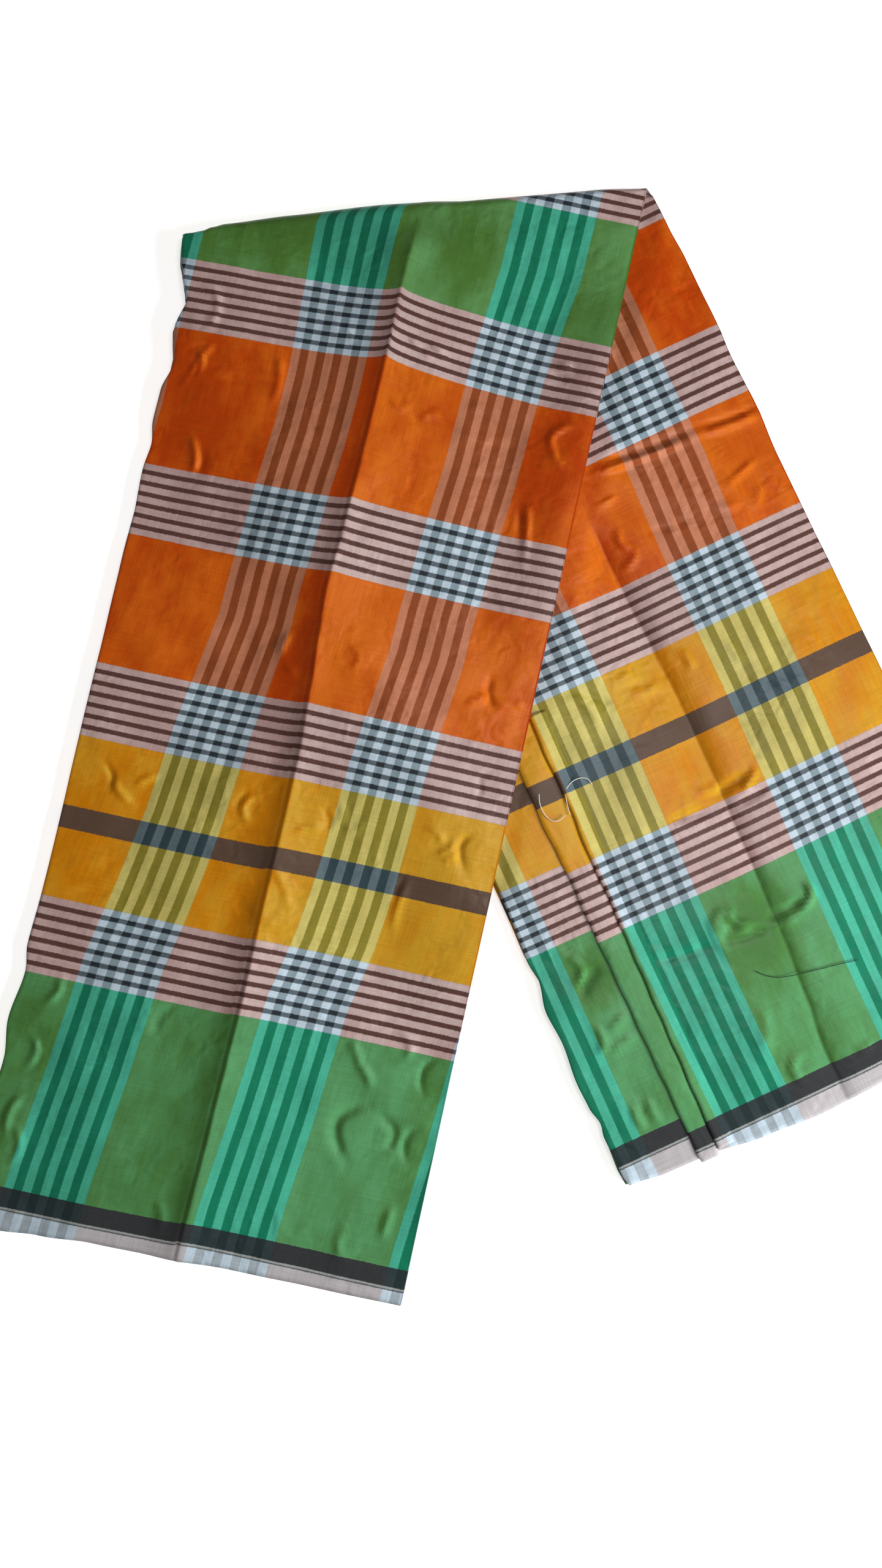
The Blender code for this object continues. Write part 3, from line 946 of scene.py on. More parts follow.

# %% Patches of painted shade and painted sheen
# Patches of painted shade (below 0) and painted sheen: across and down in
# millimetres, reach across and down, change
OVER_SHADE_AND_SHEEN = (
    (-80, 22, 70, 34, -0.60),
    (-14, 60, 18, 50, -0.45),
    (25, 78, 14, 14, -0.40),
    (45, 120, 18, 16, -0.45),
    (31, 28, 20, 34, -0.80),
    (112, 62, 30, 44, -0.20),
    (-112, 140, 40, 40, -0.25),
    (20, 150, 30, 36, -0.25),
    (59, 146, 5, 34, 0.45),
    (9, 268, 5, 34, 0.35),
    (50, 262, 4, 36, 0.40),
    (51, 362, 6, 22, 0.40),
    (64, 407, 5, 16, 0.35),
    (106, 138, 34, 38, -0.50),
    (15, 262, 22, 30, 0.20),
    (95, 262, 24, 30, 0.20),
    (-20, 214, 16, 22, 0.60),
    (-24, 254, 16, 22, 0.45),
    (95, 208, 18, 14, 0.45),
    (-50, 250, 40, 40, 0.30),
    (-90, 290, 40, 30, 0.20),
    (-60, 355, 50, 30, -0.15),
    (-112, 345, 14, 26, 0.35),
    (-66, 436, 18, 18, 0.30),
    (-100, 400, 30, 40, -0.25),
    (55, 390, 30, 50, 0.40),
    (14, 392, 16, 20, -0.25),
    (106, 365, 30, 40, 0.60),
    (104, 430, 30, 40, 0.50),
    (-10, 458, 20, 22, 0.35),
    (-99, 512, 20, 24, -0.35),
    (-30, 500, 60, 60, 0.15),
    (30, 520, 40, 70, 0.25),
    (70, 525, 20, 22, 0.25),
    (120, 525, 16, 70, -0.50),
)
# painted shade and sheen on the under limb
UNDER_SHADE_AND_SHEEN = (
    (60, 60, 60, 50, -0.65),
    (105, 110, 30, 40, -0.50),
    (-80, 90, 60, 60, -0.25),
    (62, 203, 34, 44, 0.60),
    (-32, 257, 24, 30, -0.30),
    (20, 240, 24, 70, -0.10),
    (-35, 300, 30, 26, 0.40),
    (111, 323, 24, 40, -0.40),
    (-40, 413, 26, 22, -0.20),
    (50, 480, 40, 50, 0.30),
    (-10, 362, 32, 25, -0.30),
    (20, 345, 110, 44, -0.22),
    (-98, 443, 22, 18, -0.90),
    (-98, 490, 24, 34, 0.40),
    (0, 455, 24, 36, -0.80),
    (-45, 490, 44, 60, -0.30),
)
PATCH_REACH = 1.3            # a patch has faded out at this many times its reach


def patches(table, across, down):
    """The sum of soft round patches at each place."""
    total = np.zeros(across.shape)
    for middle, below, wide, long, change in table:
        far = np.hypot((across * 1000 - middle) / wide, (down * 1000 - below) / long)
        total += change * smooth(PATCH_REACH - far)
    return total


print(len(OVER_SHADE_AND_SHEEN), "patches on the over limb,", len(UNDER_SHADE_AND_SHEEN), "on the under")

# %% How much painted light the plain cloth takes
# painted light and shade: 1 is painted lit, 0 painted shade, below 0 deeper painted shade
PAINTED_LIGHT_FROM = (0.97, -0.24, 0.0)   # the side the painted light falls from, roughly towards the low lamp
PAINTED_LIGHT_CONTRAST = 2.6
PAINTED_LIGHT_HIDDEN = 0.0
PAINTED_NOSE_SHADE = -1.0             # deepest painted shade, round the nose on the right
FACE_SIDE = 0.999            # side share up to which the face keeps its own painted light and shade
NOSE_SIDE = 0.99             # side share past which the rest belongs to that nose


def painted_light_on(points, start, side, on_face):
    """Painted light: more where the face slopes towards the low lamp, painted shade round the
    right nose.
    """
    normal = np.cross(np.gradient(points, axis=1), np.gradient(points, axis=0))
    normal *= np.sign(normal[..., 2:] + 1e-12) / np.linalg.norm(normal, axis=-1, keepdims=True)
    painted_light = np.clip(start + PAINTED_LIGHT_CONTRAST * (normal @ PAINTED_LIGHT_FROM), 0, 1)
    # patches below 0 carry on as deeper painted shade
    painted_light += np.clip(start, PAINTED_NOSE_SHADE, 0)
    aside = np.where(side > NOSE_SIDE, PAINTED_NOSE_SHADE, PAINTED_LIGHT_HIDDEN)
    return np.where(on_face & (side < FACE_SIDE), painted_light, aside)


# the side the painted light falls from
print("the brighter yarn shows most on slopes towards", PAINTED_LIGHT_FROM)

# %% A sheet from rows of points
def cloth_sheet(name, points, warp, weft, painted_light):
    """A grid of cloth through the points, with its threads as UVs, one layer thick."""
    rows, columns = points.shape[:2]
    bpy.ops.object.select_all(action="DESELECT")
    bpy.ops.mesh.primitive_grid_add(x_subdivisions=columns - 1, y_subdivisions=rows - 1, size=1)
    piece = bpy.context.object
    piece.name = name
    mesh = piece.data
    mesh.name = name
    flat = np.empty(len(mesh.vertices) * 3)
    mesh.vertices.foreach_get("co", flat)
    flat = flat.reshape(-1, 3)
    column = np.rint((flat[:, 0] + 0.5) * (columns - 1)).astype(int)
    row = np.rint((0.5 - flat[:, 1]) * (rows - 1)).astype(int)
    mesh.vertices.foreach_set("co", points[row, column].ravel())
    corner = np.empty(len(mesh.loops), dtype=int)
    mesh.loops.foreach_get("vertex_index", corner)
    threads = np.stack([warp[row, column], weft[row, column]], axis=-1)[corner]
    mesh.uv_layers.active.name = "threads"
    mesh.uv_layers.active.data.foreach_set("uv", threads.ravel())
    painted_light = np.broadcast_to(painted_light, warp.shape)
    # one number a vertex for the painted light and shade of the plain colour
    mesh.attributes.new("painted_light", "FLOAT", "POINT").data.foreach_set("value", painted_light[row, column])
    mesh.shade_smooth()
    thickness = piece.modifiers.new("One layer", "SOLIDIFY")
    thickness.thickness = CLOTH
    thickness.offset = 0.0
    bpy.ops.object.modifier_apply(modifier=thickness.name)
    print(f"{name}: {rows} rows of {columns}, {len(piece.data.polygons) * 2} triangles")
    return piece


print(f"one layer is {CLOTH * 1000:.2f} mm thick")

# %% The over limb's cloth, round the fold
OVER_PAINTED_LIGHT = (0.35, 0.70)     # painted light left and right of the crease, more on the side towards the lamp
CREASE_WIDTH = 0.004
ROLL_TURN = np.linspace(pi / 2, -pi / 2, 19)
section = outer_section(OVER_COLUMNS, HIDDEN_COLUMNS, face=1)
over_shares = uneven((1.0, 0.975, 0.885, 0.82, 0.765, 0.71, 0.62, 0.52, 0.49, 0.36, 0.31,
                      0.23, 0.12, 0.0),
                     (0.0050, 0.0040, 0.0032, 0.0032, 0.0080, 0.0040, 0.0029, 0.0065, 0.0038,
                      0.0065, 0.0036, 0.0034, 0.0080))
limb_points, limb_across, limb_down = over_points(section, over_shares)
turn_points, turn_across, turn_down = roll_points(section, ROLL_TURN)
points = np.concatenate([limb_points, turn_points[1:]])
across = np.concatenate([limb_across, turn_across[1:]])
down = np.concatenate([limb_down, turn_down[1:]])
run = run_along(across, section, face=1)
past_crease = smooth((across - over.crease_at(down)) / CREASE_WIDTH)
painted_light = painted_light_on(points, blend(*OVER_PAINTED_LIGHT, past_crease) + patches(OVER_SHADE_AND_SHEEN, across, down),
               section[:, 0], section[:, 2] > FACE_LEVEL)
over_cloth = cloth_sheet("over_cloth", points, *over_threads(run, across, down), painted_light)

# %% The under limb's cloth
# painted light on the face of the under limb
UNDER_PAINTED_LIGHT = 0.6
section = outer_section(UNDER_COLUMNS, HIDDEN_COLUMNS, face=8)
under_shares = uneven((0, 0.300, 0.345, 1), (0.0038, 0.0016, 0.0038))
points, across, down = under_points(section, under_shares)
run = run_along(across, section, face=8)
painted_light = painted_light_on(points, UNDER_PAINTED_LIGHT + patches(UNDER_SHADE_AND_SHEEN, across, down),
               section[:, 0], section[:, 2] < 1 - FACE_LEVEL)
under_cloth = cloth_sheet("under_cloth", points, *under_threads(run, across, down), painted_light)

# %% [markdown]
# ## The hidden folds
#
# Six of the eight passes hardly show: their noses along the left edges and their ends at the
# hems. They are one more sheet, folded the same way inside the outer cloth and laid in
# longer steps.

# %% Inner folds
section = inner_section(INNER_COLUMNS)
inner_rows = np.linspace(1, 0, 70)
limb_points, limb_across, limb_down = over_points(section, inner_rows)
turn_points, turn_across, turn_down = roll_points(section, np.linspace(pi / 2, -pi / 2, 11))
far_points, far_across, far_down = under_points(section, inner_rows[::-1])
points = np.concatenate([limb_points, turn_points[1:-1], far_points])
down = np.concatenate([limb_down, turn_down[1:-1], -far_down])
across = np.concatenate([limb_across, turn_across[1:-1], far_across])
run = run_along(across, section, face=2)
warp, weft = over_threads(run, across, np.abs(down))
# painted light of the hidden folds
INNER_PAINTED_LIGHT = 0.5
inner_folds = cloth_sheet("inner_folds", points, warp, weft, INNER_PAINTED_LIGHT)

# %% [markdown]
# ## The side seam
#
# The tube was closed with one felled seam. Its band lies on the under limb, and each of its
# edges is a small step up to the right: the band lies on the cloth left of it, and the cloth
# right of it laps over the band. The band's end sticks out past the hem as a small tab. It
# would be simpler to draw two dark lines, but the steps catch the light and cast shadows.

# %% The seam band
SEAM_LEFT_TOP = -0.0860
SEAM_LEFT_HEM = -0.0827
SEAM_WIDTH_TOP = 0.0180
SEAM_WIDTH_HEM = 0.0110
SEAM_TAB = 0.0022
SEAM_TAB_DROOP = 0.0008
SEAM_COVER = 0.0150          # how far it runs on under the over limb
SEAM_ROWS = 190
SEAM_WAVER, SEAM_RIPPLE = 0.0005, 0.0002
SEAM_WAVER_END, SEAM_WAVER_EASE = 0.44, 0.06   # m down, where the slower waver dies away
SEAM_CHECK_SHIFT = 0.0015    # the band's checks lie this far below those beside it
LAP_SHORT = 0.0012           # the lap ends this far before the hem
TAB_TAPER = 0.0012
# Stations across: share of the band's width, millimetres to the right of that, height in
# millimetres, and whether the station is part of the lap
SEAM_STATIONS = (
    (0.00, -0.35, -0.30, 0),
    (0.00, -0.20, 0.55, 0),
    (0.00, 0.15, 0.95, 0),
    (0.15, 0.0, 1.00, 0),
    (0.50, 0.0, 0.90, 0),
    (0.80, 0.0, 0.80, 0),
    (0.93, 0.0, 0.60, 0),
    (1.00, -0.30, 0.10, 0),
    (1.00, -0.05, 0.10, 1),
    (1.00, 0.10, 0.95, 1),
    (1.00, 0.50, 1.40, 1),
    (1.00, 1.60, 1.50, 1),
    (1.00, 3.50, 1.25, 1),
    (1.00, 6.00, 0.75, 1),
    (1.00, 9.00, 0.15, 1),
    (1.00, 12.0, -0.50, 1),
)


def seam_points():
    """Rows of the band and, in the same sheet, the lap beside it."""
    share, beside, rise, lap = np.array(SEAM_STATIONS).T
    q = np.linspace(0, 1, SEAM_ROWS)[:, None]
    clear = STRIP_WIDTH / 2 - SEAM_COVER - SEAM_LEFT_TOP * (under.across @ over.across)
    start = clear / (under.down @ over.across)
    hem = under.hem_at(np.array(SEAM_LINE)) + np.where(lap, -LAP_SHORT, SEAM_TAB)
    down = blend(start, hem, q)
    waver = SEAM_WAVER * np.sin(down * 101 + 4 * share) \
        * smooth((SEAM_WAVER_END - down) / SEAM_WAVER_EASE) \
        + SEAM_RIPPLE * np.sin(down * 260 + 9 * share)
    across = blend(SEAM_LEFT_TOP, SEAM_LEFT_HEM, q) + beside / 1000 + waver \
        + blend(SEAM_WIDTH_TOP, SEAM_WIDTH_HEM, q) * share
    past_hem = smooth((down - hem + 2 * SEAM_TAB) / SEAM_TAB / 2) * (1 - lap)
    across += past_hem * (0.5 - share) * TAB_TAPER
    plan = under.plan(across, down)
    relief = (under_form(across, down) + under_detail(across, down)) * under_bare(plan)
    height = STACK * level_of(1) + rise / 1000 + relief - SEAM_TAB_DROOP * past_hem
    points = np.concatenate([plan, height[..., None]], axis=-1)
    warp, weft = under_threads(across, np.maximum(across, SEAM_LINE), down)
    warp = np.where(lap, warp, across - SEAM_LINE)
    weft = np.where(lap, weft, -weft_at(UNDER_WEFT, down - SEAM_CHECK_SHIFT, (2, 2), 0.0))
    return points, warp, weft


# painted light of the seam band
SEAM_PAINTED_LIGHT = 0.7
side_seam_band = cloth_sheet("side_seam_band", *seam_points(), SEAM_PAINTED_LIGHT)

# %% [markdown]
# ## Loose threads
#
# Ends of sewing thread were left on the cloth when the seam was sewn. Each is a curve through
# a few places with a round bevel, which is far lighter than a turned and bent cylinder.

# %% Loose threads
# Ends of sewing thread on the under limb, through places across and down, in millimetres
LOOSE_THREADS = (
    ("white_thread_a", ((-80.8, 338.8), (-84.4, 345.1), (-84.4, 356.6), (-77.5, 358.5),
                        (-72.6, 355.1))),
    ("white_thread_b", ((-69.8, 356.4), (-68.7, 344.2), (-63.6, 338.7), (-55.5, 338.2),
                        (-51.6, 341.8), (-51.6, 345.9))),
    ("green_thread", ((-12.1, 475.8), (-6.5, 482.6), (0.0, 485.5), (15.2, 487.9),
                      (29.9, 490.5), (41.8, 492.9))),
)
THREAD_RADIUS = 0.00022      # coarser than sewing thread, so that it shows
THREAD_CLEAR = 0.0007        # above the face, and further where the seam is thick
THREAD_OVER_SEAM, SEAM_REACH = 0.0012, 0.016


def loose_thread(name, places):
    """A thin round thread that lies on the face of the under limb."""
    across, down = np.array(places, dtype=float).T / 1000
    bare = under_bare(under.plan(across, down))
    relief = (under_form(across, down) + under_detail(across, down)) * bare
    on_seam = smooth(1 - np.abs(across - SEAM_LINE) / SEAM_REACH)
    height = STACK + relief + THREAD_CLEAR + THREAD_OVER_SEAM * on_seam
    bpy.ops.object.select_all(action="DESELECT")
    bpy.ops.curve.primitive_nurbs_path_add()
    thread = bpy.context.object
    thread.name = name
    spline = thread.data.splines[0]
    spline.points.add(len(places) - len(spline.points))
    for point, place, z in zip(spline.points, under.plan(across, down), height):
        point.co = (*place, z, 1.0)
    thread.data.bevel_depth = THREAD_RADIUS
    thread.data.bevel_resolution = 2
    thread.data.resolution_u = 8
    return thread


threads = [loose_thread(name, places) for name, places in LOOSE_THREADS]
print("loose threads:", len(threads))

# %% [markdown]
# ## The finish
#
# The cloth is yarn-dyed plain-weave cotton, calendered: pressed between hot rollers until it
# has a soft gloss. The colours come from a chart. Weft bands run across the strip, in an order
# that mirrors about the middle of the cloth, and groups of nine warp stripes cross them. Where
# a stripe crosses a band, the two yarns mix, so each band has a colour of its own for the
# light and the dark stripes. Plain cloth has a colour in painted shade and one in painted
# light, mixed by the painted light that each vertex carries, which follows how the cloth
# slopes towards the low lamp.

# %% Colours and nodes
def linear(hex_colour):
    """An sRGB hex colour as the linear values that the nodes take."""
    values = [int(hex_colour[i:i + 2], 16) / 255 for i in (0, 2, 4)]
    return [v / 12.92 if v <= 0.04045 else ((v + 0.055) / 1.055) ** 2.4 for v in values] + [1.0]


def add_node(tree, kind, inputs=(), **settings):
    """Add a node with its settings. An input takes a value, a socket or a node's first output."""
    node = tree.nodes.new("ShaderNode" + kind)
    for name, value in settings.items():
        setattr(node, name, value)
    for socket, value in dict(inputs).items():
        if isinstance(value, bpy.types.Node):
            value = value.outputs[0]
        if isinstance(value, bpy.types.NodeSocket):
            tree.links.new(value, node.inputs[socket])
        else:
            node.inputs[socket].default_value = value
    return node


print("mid grey, linear:", round(linear("808080")[0], 3))

# %% The chart of bands
# Each weft: plain colour in painted shade and painted light, under a light and a dark stripe
PINK = ("A58886", "B8A29F", "AABAC6", "788992")
ORANGE = ("AC3B00", "C4600E", "AA6C50", "7E3E1E")
YELLOW = ("BC7402", "BC8E22", "B2A75E", "7A7128")
GREEN_STRIPES = ("3E9A80", "10694E")
# Weft bands: where each starts, in millimetres from the middle of the cloth, whether it is
# lined, and its weft
BANDS = (
    (0.0, 0, "466E2E", "588A52", *GREEN_STRIPES),
    (37.2, 1, *PINK),
    (78.0, 0, *ORANGE),
    (161.2, 1, *PINK),
    (202.0, 0, *ORANGE),
    (279.0, 1, *PINK),
    (319.8, 0, *YELLOW),
    (358.3, 0, "544135", "544135", "526167", "2A3B41"),
    (370.8, 0, *YELLOW),
    (409.2, 1, *PINK),
    (450.0, 0, "437238", "508C5B", *GREEN_STRIPES),
    (566.0, 0, "303234", "303234", "2A3538", "202C2D"),
    (576.2, 0, "8C908F", "8C908F", "8C908F", "7E8483"),
    (577.3, 0, "525456", "525456", "525A5E", "484F52"),
    (578.0, 0, "A8A4A7", "A8A4A7", "AABAC6", "909CA4"),
)
# a brown line on the plain cloth, on a light stripe and on a dark stripe
LINE_COLOURS = ("533732", "4F5B63", "22292F")
LINE_PERIOD = 6.2            # mm, a pink stripe of 3.6 and a brown line of 2.6
LINE_START = 39.0            # mm from the cloth's middle, half a pink stripe short of a line
LINE_HALF = 1.3
THREAD_BLUR = 0.22           # mm, over which one yarn gives way to the next


def band_number(tree, from_middle):
    """Which band a point is in: one step up at each start, as sharp as a yarn is wide."""
    number = None
    for start, *_ in BANDS[1:]:
        step = add_node(tree, "MapRange", {"Value": from_middle, "From Min": start - THREAD_BLUR,
                                           "From Max": start + THREAD_BLUR})
        if number is None:
            number = step
        else:
            number = add_node(tree, "Math", {0: number, 1: step}, operation="ADD")
    return add_node(tree, "Math", {0: number, 1: len(BANDS) - 1}, operation="DIVIDE")


def band_colours(tree, share, column):
    """A ramp with one level stretch a band, whose alpha says where the lined bands are."""
    ramp = add_node(tree, "ValToRGB", {"Fac": share})
    stops = ramp.color_ramp.elements
    last = len(BANDS) - 1
    for i, (_, lined, *colours) in enumerate(BANDS):
        paint = linear(colours[column])[:3] + [float(lined)]
        if i == 0:
            stops[0].color = paint
        if i == last:
            stops[len(stops) - 1].color = paint
        if i > 0:
            stops.new((i - 0.25) / last).color = paint
        if i < last:
            stops.new((i + 0.25) / last).color = paint
    return ramp


print("bands in the chart:", len(BANDS))

# %% [markdown]
# ### Lines, stripes and yarns
#
# Each part of the pattern is a small group of nodes in thread millimetres: where the yarns
# lie, how much painted light and shade the plain cloth takes, the brown lines, and the groups
# of warp stripes. An image texture would be quicker, but it would blur close up.

# %% The parts of the pattern
PAINTED_SHADE_LEAST = 0.5             # least share of the colour kept under the deepest painted shade


def thread_places(tree):
    """Thread coordinates in millimetres, true and with the yarns' own unevenness."""
    threads = add_node(tree, "UVMap", uv_map="threads")
    in_mm = add_node(tree, "VectorMath", {0: threads, 1: (1000, 1000, 0)}, operation="MULTIPLY")
    wobble = add_node(tree, "TexNoise", {"Vector": in_mm, "Scale": 0.9, "Detail": 2.0})
    off_centre = add_node(tree, "VectorMath", {0: wobble.outputs["Color"],
                                               1: (-0.5, -0.5, -0.5)}, operation="ADD")
    shift = add_node(tree, "VectorMath", {0: off_centre, "Scale": 0.7}, operation="SCALE")
    placed = add_node(tree, "VectorMath", {0: in_mm, 1: shift}, operation="ADD")
    return in_mm, add_node(tree, "SeparateXYZ", {0: placed})


def painted_light_and_shade(tree, in_mm):
    """The painted light, slightly mottled, and the painted shade where it falls below 0."""
    laid = add_node(tree, "Attribute", attribute_name="painted_light").outputs["Fac"]
    stretched = add_node(tree, "VectorMath", {0: in_mm, 1: (0.10, 0.05, 0)},
                         operation="MULTIPLY")
    mottle = add_node(tree, "TexNoise", {"Vector": stretched, "Scale": 1.0, "Detail": 3.0,
                                         "Roughness": 0.6})
    slight = add_node(tree, "MapRange", {"Value": mottle, "From Min": 0.35, "From Max": 0.65,
                                         "To Min": -0.24, "To Max": 0.24})
    painted_light = add_node(tree, "Math", {0: laid, 1: slight}, operation="ADD", use_clamp=True)
    # painted shade: the colour falls to half where the painted light is at its lowest
    bent = add_node(tree, "MapRange", {"Value": laid, "From Min": PAINTED_NOSE_SHADE,
                                       "From Max": PAINTED_LIGHT_HIDDEN, "To Min": PAINTED_SHADE_LEAST,
                                       "To Max": 1.0})
    return painted_light, bent


def brown_lines(tree, from_middle, lined):
    """1 on the brown lines of the lined bands."""
    start = add_node(tree, "Math", {0: from_middle, 1: LINE_START - 10 * LINE_PERIOD},
                     operation="SUBTRACT")
    in_line = add_node(tree, "Math", {0: start, 1: LINE_PERIOD}, operation="MODULO")
    aside = add_node(tree, "Math", {0: in_line, 1: LINE_PERIOD / 2}, operation="SUBTRACT")
    from_line = add_node(tree, "Math", {0: aside}, operation="ABSOLUTE")
    on_line = add_node(tree, "MapRange", {"Value": from_line, "From Min": LINE_HALF + THREAD_BLUR,
                                          "From Max": LINE_HALF - THREAD_BLUR})
    return add_node(tree, "Math", {0: on_line, 1: lined}, operation="MULTIPLY")


def warp_stripes(tree, along_weft):
    """1 inside the groups of warp stripes, and 1 on their dark stripes."""
    half = STRIPES * STRIPE_WIDTH / 2
    period = STRIPE_PERIOD * 1000
    start = add_node(tree, "Math", {0: along_weft, 1: 50 * period - period / 2 + half},
                     operation="ADD")
    in_group = add_node(tree, "Math", {0: start, 1: period}, operation="MODULO")
    aside = add_node(tree, "Math", {0: in_group, 1: half}, operation="SUBTRACT")
    from_group = add_node(tree, "Math", {0: aside}, operation="ABSOLUTE")
    group = add_node(tree, "MapRange", {"Value": from_group, "From Min": half + THREAD_BLUR,
                                        "From Max": half - THREAD_BLUR})
    wave = add_node(tree, "Math", {0: in_group, 1: pi / STRIPE_WIDTH}, operation="MULTIPLY")
    crest = add_node(tree, "Math", {0: wave}, operation="SINE")
    return group, add_node(tree, "MapRange", {"Value": crest, "From Min": 0.14,
                                              "From Max": -0.14})


def yarn_streaks(tree, in_mm):
    """Yarns that took the dye unevenly, as long faint streaks both ways."""
    streaks = []
    for stretch in ((1.3, 0.03, 0), (0.03, 1.3, 0)):
        along = add_node(tree, "VectorMath", {0: in_mm, 1: stretch}, operation="MULTIPLY")
        streaks.append(add_node(tree, "TexNoise", {"Vector": along, "Scale": 1.0,
                                                   "Detail": 3.0}))
    return add_node(tree, "Math", {0: streaks[0], 1: streaks[1]}, operation="ADD")


def slight_relief(tree, in_mm, streaks):
    """Bump of the uneven yarns, and of crumples too fine for the mesh, stronger in places."""
    yarns = add_node(tree, "Bump", {"Height": streaks, "Strength": 0.25, "Distance": 0.0002})
    crumple = add_node(tree, "TexNoise", {"Vector": in_mm, "Scale": 0.11, "Detail": 1.0,
                                          "Distortion": 0.4})
    where = add_node(tree, "TexNoise", {"Vector": in_mm, "Scale": 0.02})
    amount = add_node(tree, "MapRange", {"Value": where, "From Min": 0.40, "From Max": 0.65,
                                         "To Min": 0.15})
    return add_node(tree, "Bump", {"Height": crumple, "Strength": amount, "Distance": 0.0009,
                                   "Normal": yarns})


print(f"{STRIPES} warp stripes of {STRIPE_WIDTH} mm in a group")

# %% [markdown]
# ### The materials
#
# Calendered cotton has a soft gloss: fairly smooth, but with a weak reflection, because the
# pressed yarns still scatter most of the light. A real yarn here is about 0.35 mm wide, too
# fine to show, so streaks of about 0.8 mm stand for it. The loose ends are sewing thread, one
# bleached and one green.

# %% The materials
def checked_cotton(name):
    """Calendered checked cotton, patterned along the piece's own threads."""
    finish = bpy.data.materials.new(name)
    finish.use_nodes = True
    tree = finish.node_tree
    shader = tree.nodes["Principled BSDF"]
    in_mm, split = thread_places(tree)
    from_middle = add_node(tree, "Math", {0: split.outputs["Y"]}, operation="ABSOLUTE")
    share = band_number(tree, from_middle)
    # plain colour in painted shade and in painted light, then the light and the dark stripe
    plain_in_shade, plain_in_light, light, dark = (band_colours(tree, share, i) for i in range(4))
    # painted light and painted shade of the plain cloth
    painted_light, bent = painted_light_and_shade(tree, in_mm)
    line = brown_lines(tree, from_middle, plain_in_shade.outputs["Alpha"])
    group, dark_stripe = warp_stripes(tree, split.outputs["X"])
    # plain cloth between its painted-shade and painted-light colours
    plain = add_node(tree, "Mix", {0: painted_light, 6: plain_in_shade, 7: plain_in_light}, data_type="RGBA")

    # the yarns mixed; stripes take the painted light and shade of the plain cloth beside them
    painted_stripe_light = add_node(tree, "MapRange", {"Value": painted_light, "To Min": 0.82, "To Max": 1.18})
    colour = None
    for beside, on_light, on_dark in ((plain.outputs[2], light, dark),
                                      [linear(colour_hex) for colour_hex in LINE_COLOURS]):
        stripes = add_node(tree, "Mix", {0: dark_stripe, 6: on_light, 7: on_dark},
                           data_type="RGBA")
        stripes_painted_lit = add_node(tree, "Mix", {0: 1.0, 6: stripes.outputs[2], 7: painted_stripe_light},
                            data_type="RGBA", blend_type="MULTIPLY")
        woven = add_node(tree, "Mix", {0: group, 6: beside, 7: stripes_painted_lit.outputs[2]},
                         data_type="RGBA")
        if colour is None:
            colour = woven
        else:
            colour = add_node(tree, "Mix", {0: line, 6: colour.outputs[2],
                                            7: woven.outputs[2]}, data_type="RGBA")

    streaks = yarn_streaks(tree, in_mm)
    shade = add_node(tree, "MapRange", {"Value": streaks, "From Min": 0.6, "From Max": 1.4,
                                        "To Min": 0.86, "To Max": 1.14})
    # the dye streaks, times the painted shade
    shaded = add_node(tree, "Math", {0: shade, 1: bent}, operation="MULTIPLY")
    final = add_node(tree, "Mix", {0: 1.0, 6: colour.outputs[2], 7: shaded},
                     data_type="RGBA", blend_type="MULTIPLY")
    tree.links.new(final.outputs[2], shader.inputs["Base Color"])
    tree.links.new(slight_relief(tree, in_mm, streaks).outputs[0], shader.inputs["Normal"])
    shader.inputs["Roughness"].default_value = 0.36
    shader.inputs["Specular IOR Level"].default_value = 0.20
    return finish


def sewing_thread(name, hex_colour):
    """Spun cotton thread, matt and of one colour."""
    finish = bpy.data.materials.new(name)
    finish.use_nodes = True
    shader = finish.node_tree.nodes["Principled BSDF"]
    shader.inputs["Base Color"].default_value = linear(hex_colour)
    shader.inputs["Roughness"].default_value = 0.6
    return finish


bleached = sewing_thread("bleached sewing thread", "D8D4CC")
green = sewing_thread("green sewing thread", "24432E")
for thread, finish in zip(threads, (bleached, bleached, green)):
    thread.data.materials.append(finish)
cotton = checked_cotton("calendered checked cotton")
for piece in (over_cloth, under_cloth, inner_folds, side_seam_band):
    piece.data.materials.clear()
    piece.data.materials.append(cotton)
print("nodes in the cotton:", len(cotton.node_tree.nodes))

# %% [markdown]
# ## The pieces join the frame
#
# Every piece rides on the one body, and the solids of the frame that the cloth stands for are
# hidden. The outer cloth wraps the strip all round.

# %% Ride and replace
for piece in (over_cloth, under_cloth, inner_folds, side_seam_band):
    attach(piece, "root")
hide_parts("over_panel", "fold_wall")
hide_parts("under_panel")
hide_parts("over_layers", "fold_layers", "under_layers")
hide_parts("side_seam")
for thread in threads:
    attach(thread, "root")
print("pieces on the frame:", 4 + len(threads))

# %% [markdown]
# ## Table, light and camera
#
# The longyi lies on a plain pale table, which glows a little so that it stays white from edge
# to edge. One large soft light stands low to the lower right, so that ridges are bright on
# that side. A small one nearly overhead lifts the gloss of the cloth, and the pale
# surroundings fill the shadows. The camera looks almost straight down.

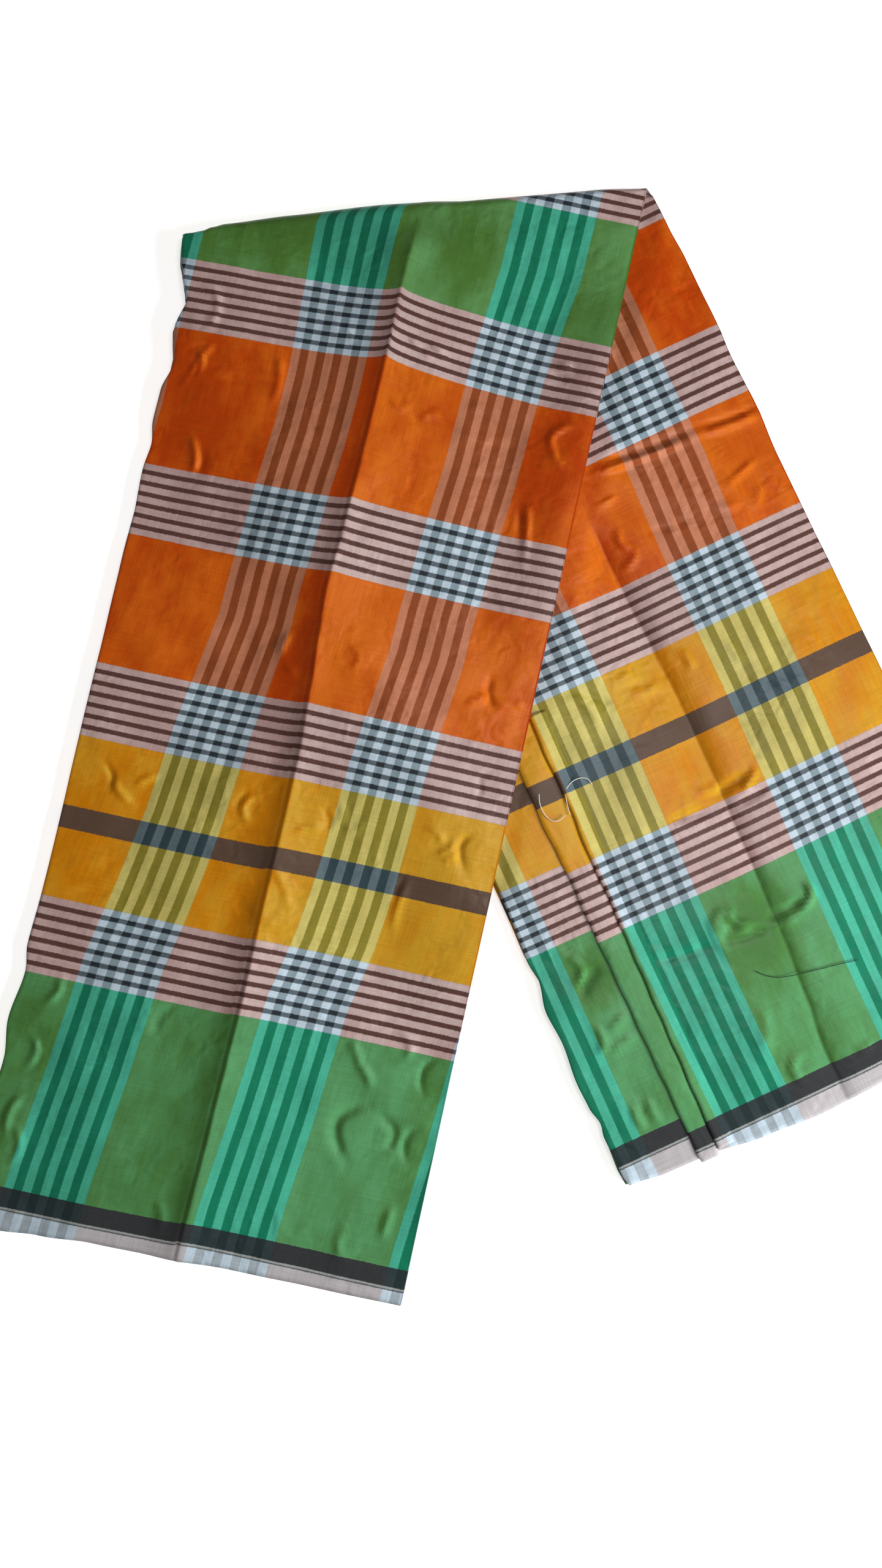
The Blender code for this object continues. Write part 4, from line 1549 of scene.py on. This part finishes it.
# %% The table
TABLE_TOP = -0.0002          # just under the cloth
bpy.ops.object.select_all(action="DESELECT")
bpy.ops.mesh.primitive_plane_add(size=12, location=(0, 0, TABLE_TOP))
table = bpy.context.object
table.name = "table_top"
table_finish = bpy.data.materials.new("matt white table")
table_finish.use_nodes = True
table_shader = table_finish.node_tree.nodes["Principled BSDF"]
table_shader.inputs["Base Color"].default_value = linear("FAFAFA")
table_shader.inputs["Roughness"].default_value = 0.9
table_shader.inputs["Emission Color"].default_value = linear("FFFFFF")
table_shader.inputs["Emission Strength"].default_value = 0.6
table.data.materials.append(table_finish)
print("table top at", TABLE_TOP, "m")

# %% Light and camera
CAMERA_TARGET = np.array((-0.03371, -0.03113, 0.0))
CAMERA_DISTANCE = 0.6603
CAMERA_TILT = radians(4.5)
CAMERA_LENS = 27.07          # mm, for an upright film 36 mm high

world = bpy.data.worlds.new("pale surroundings")
bpy.context.scene.world = world
world.use_nodes = True
world.node_tree.nodes["Background"].inputs["Color"].default_value = linear("FFF4E8")
world.node_tree.nodes["Background"].inputs["Strength"].default_value = 0.19


def soft_light(name, place, size, power):
    """A square light that faces the middle of the longyi."""
    lamp = bpy.data.lights.new(name, "AREA")
    lamp.size = size
    lamp.energy = power
    holder = bpy.data.objects.new(name, lamp)
    bpy.context.scene.collection.objects.link(holder)
    holder.location = place
    away = holder.location.copy()
    holder.rotation_euler = away.to_track_quat("Z", "Y").to_euler()
    return holder


low_window = soft_light("low_window", (1.28, -0.46, 0.56), 0.60, 41)
low_window.visible_glossy = False    # so low a light would glare on the cloth from across it
soft_light("high_window", (0.35, 0.05, 1.25), 0.36, 4.0)

camera_data = bpy.data.cameras.new("camera")
camera_data.sensor_fit = "VERTICAL"
camera_data.sensor_height = 36
camera_data.lens = CAMERA_LENS
camera = bpy.data.objects.new("camera", camera_data)
bpy.context.scene.collection.objects.link(camera)
away = np.array((0, -sin(CAMERA_TILT), cos(CAMERA_TILT)))
camera.location = CAMERA_TARGET + CAMERA_DISTANCE * away
camera.rotation_euler = (CAMERA_TILT, 0, 0)
bpy.context.scene.camera = camera
bpy.context.scene.view_settings.view_transform = "Standard"
print(f"camera {CAMERA_DISTANCE} m away, with a lens of {CAMERA_LENS} mm")
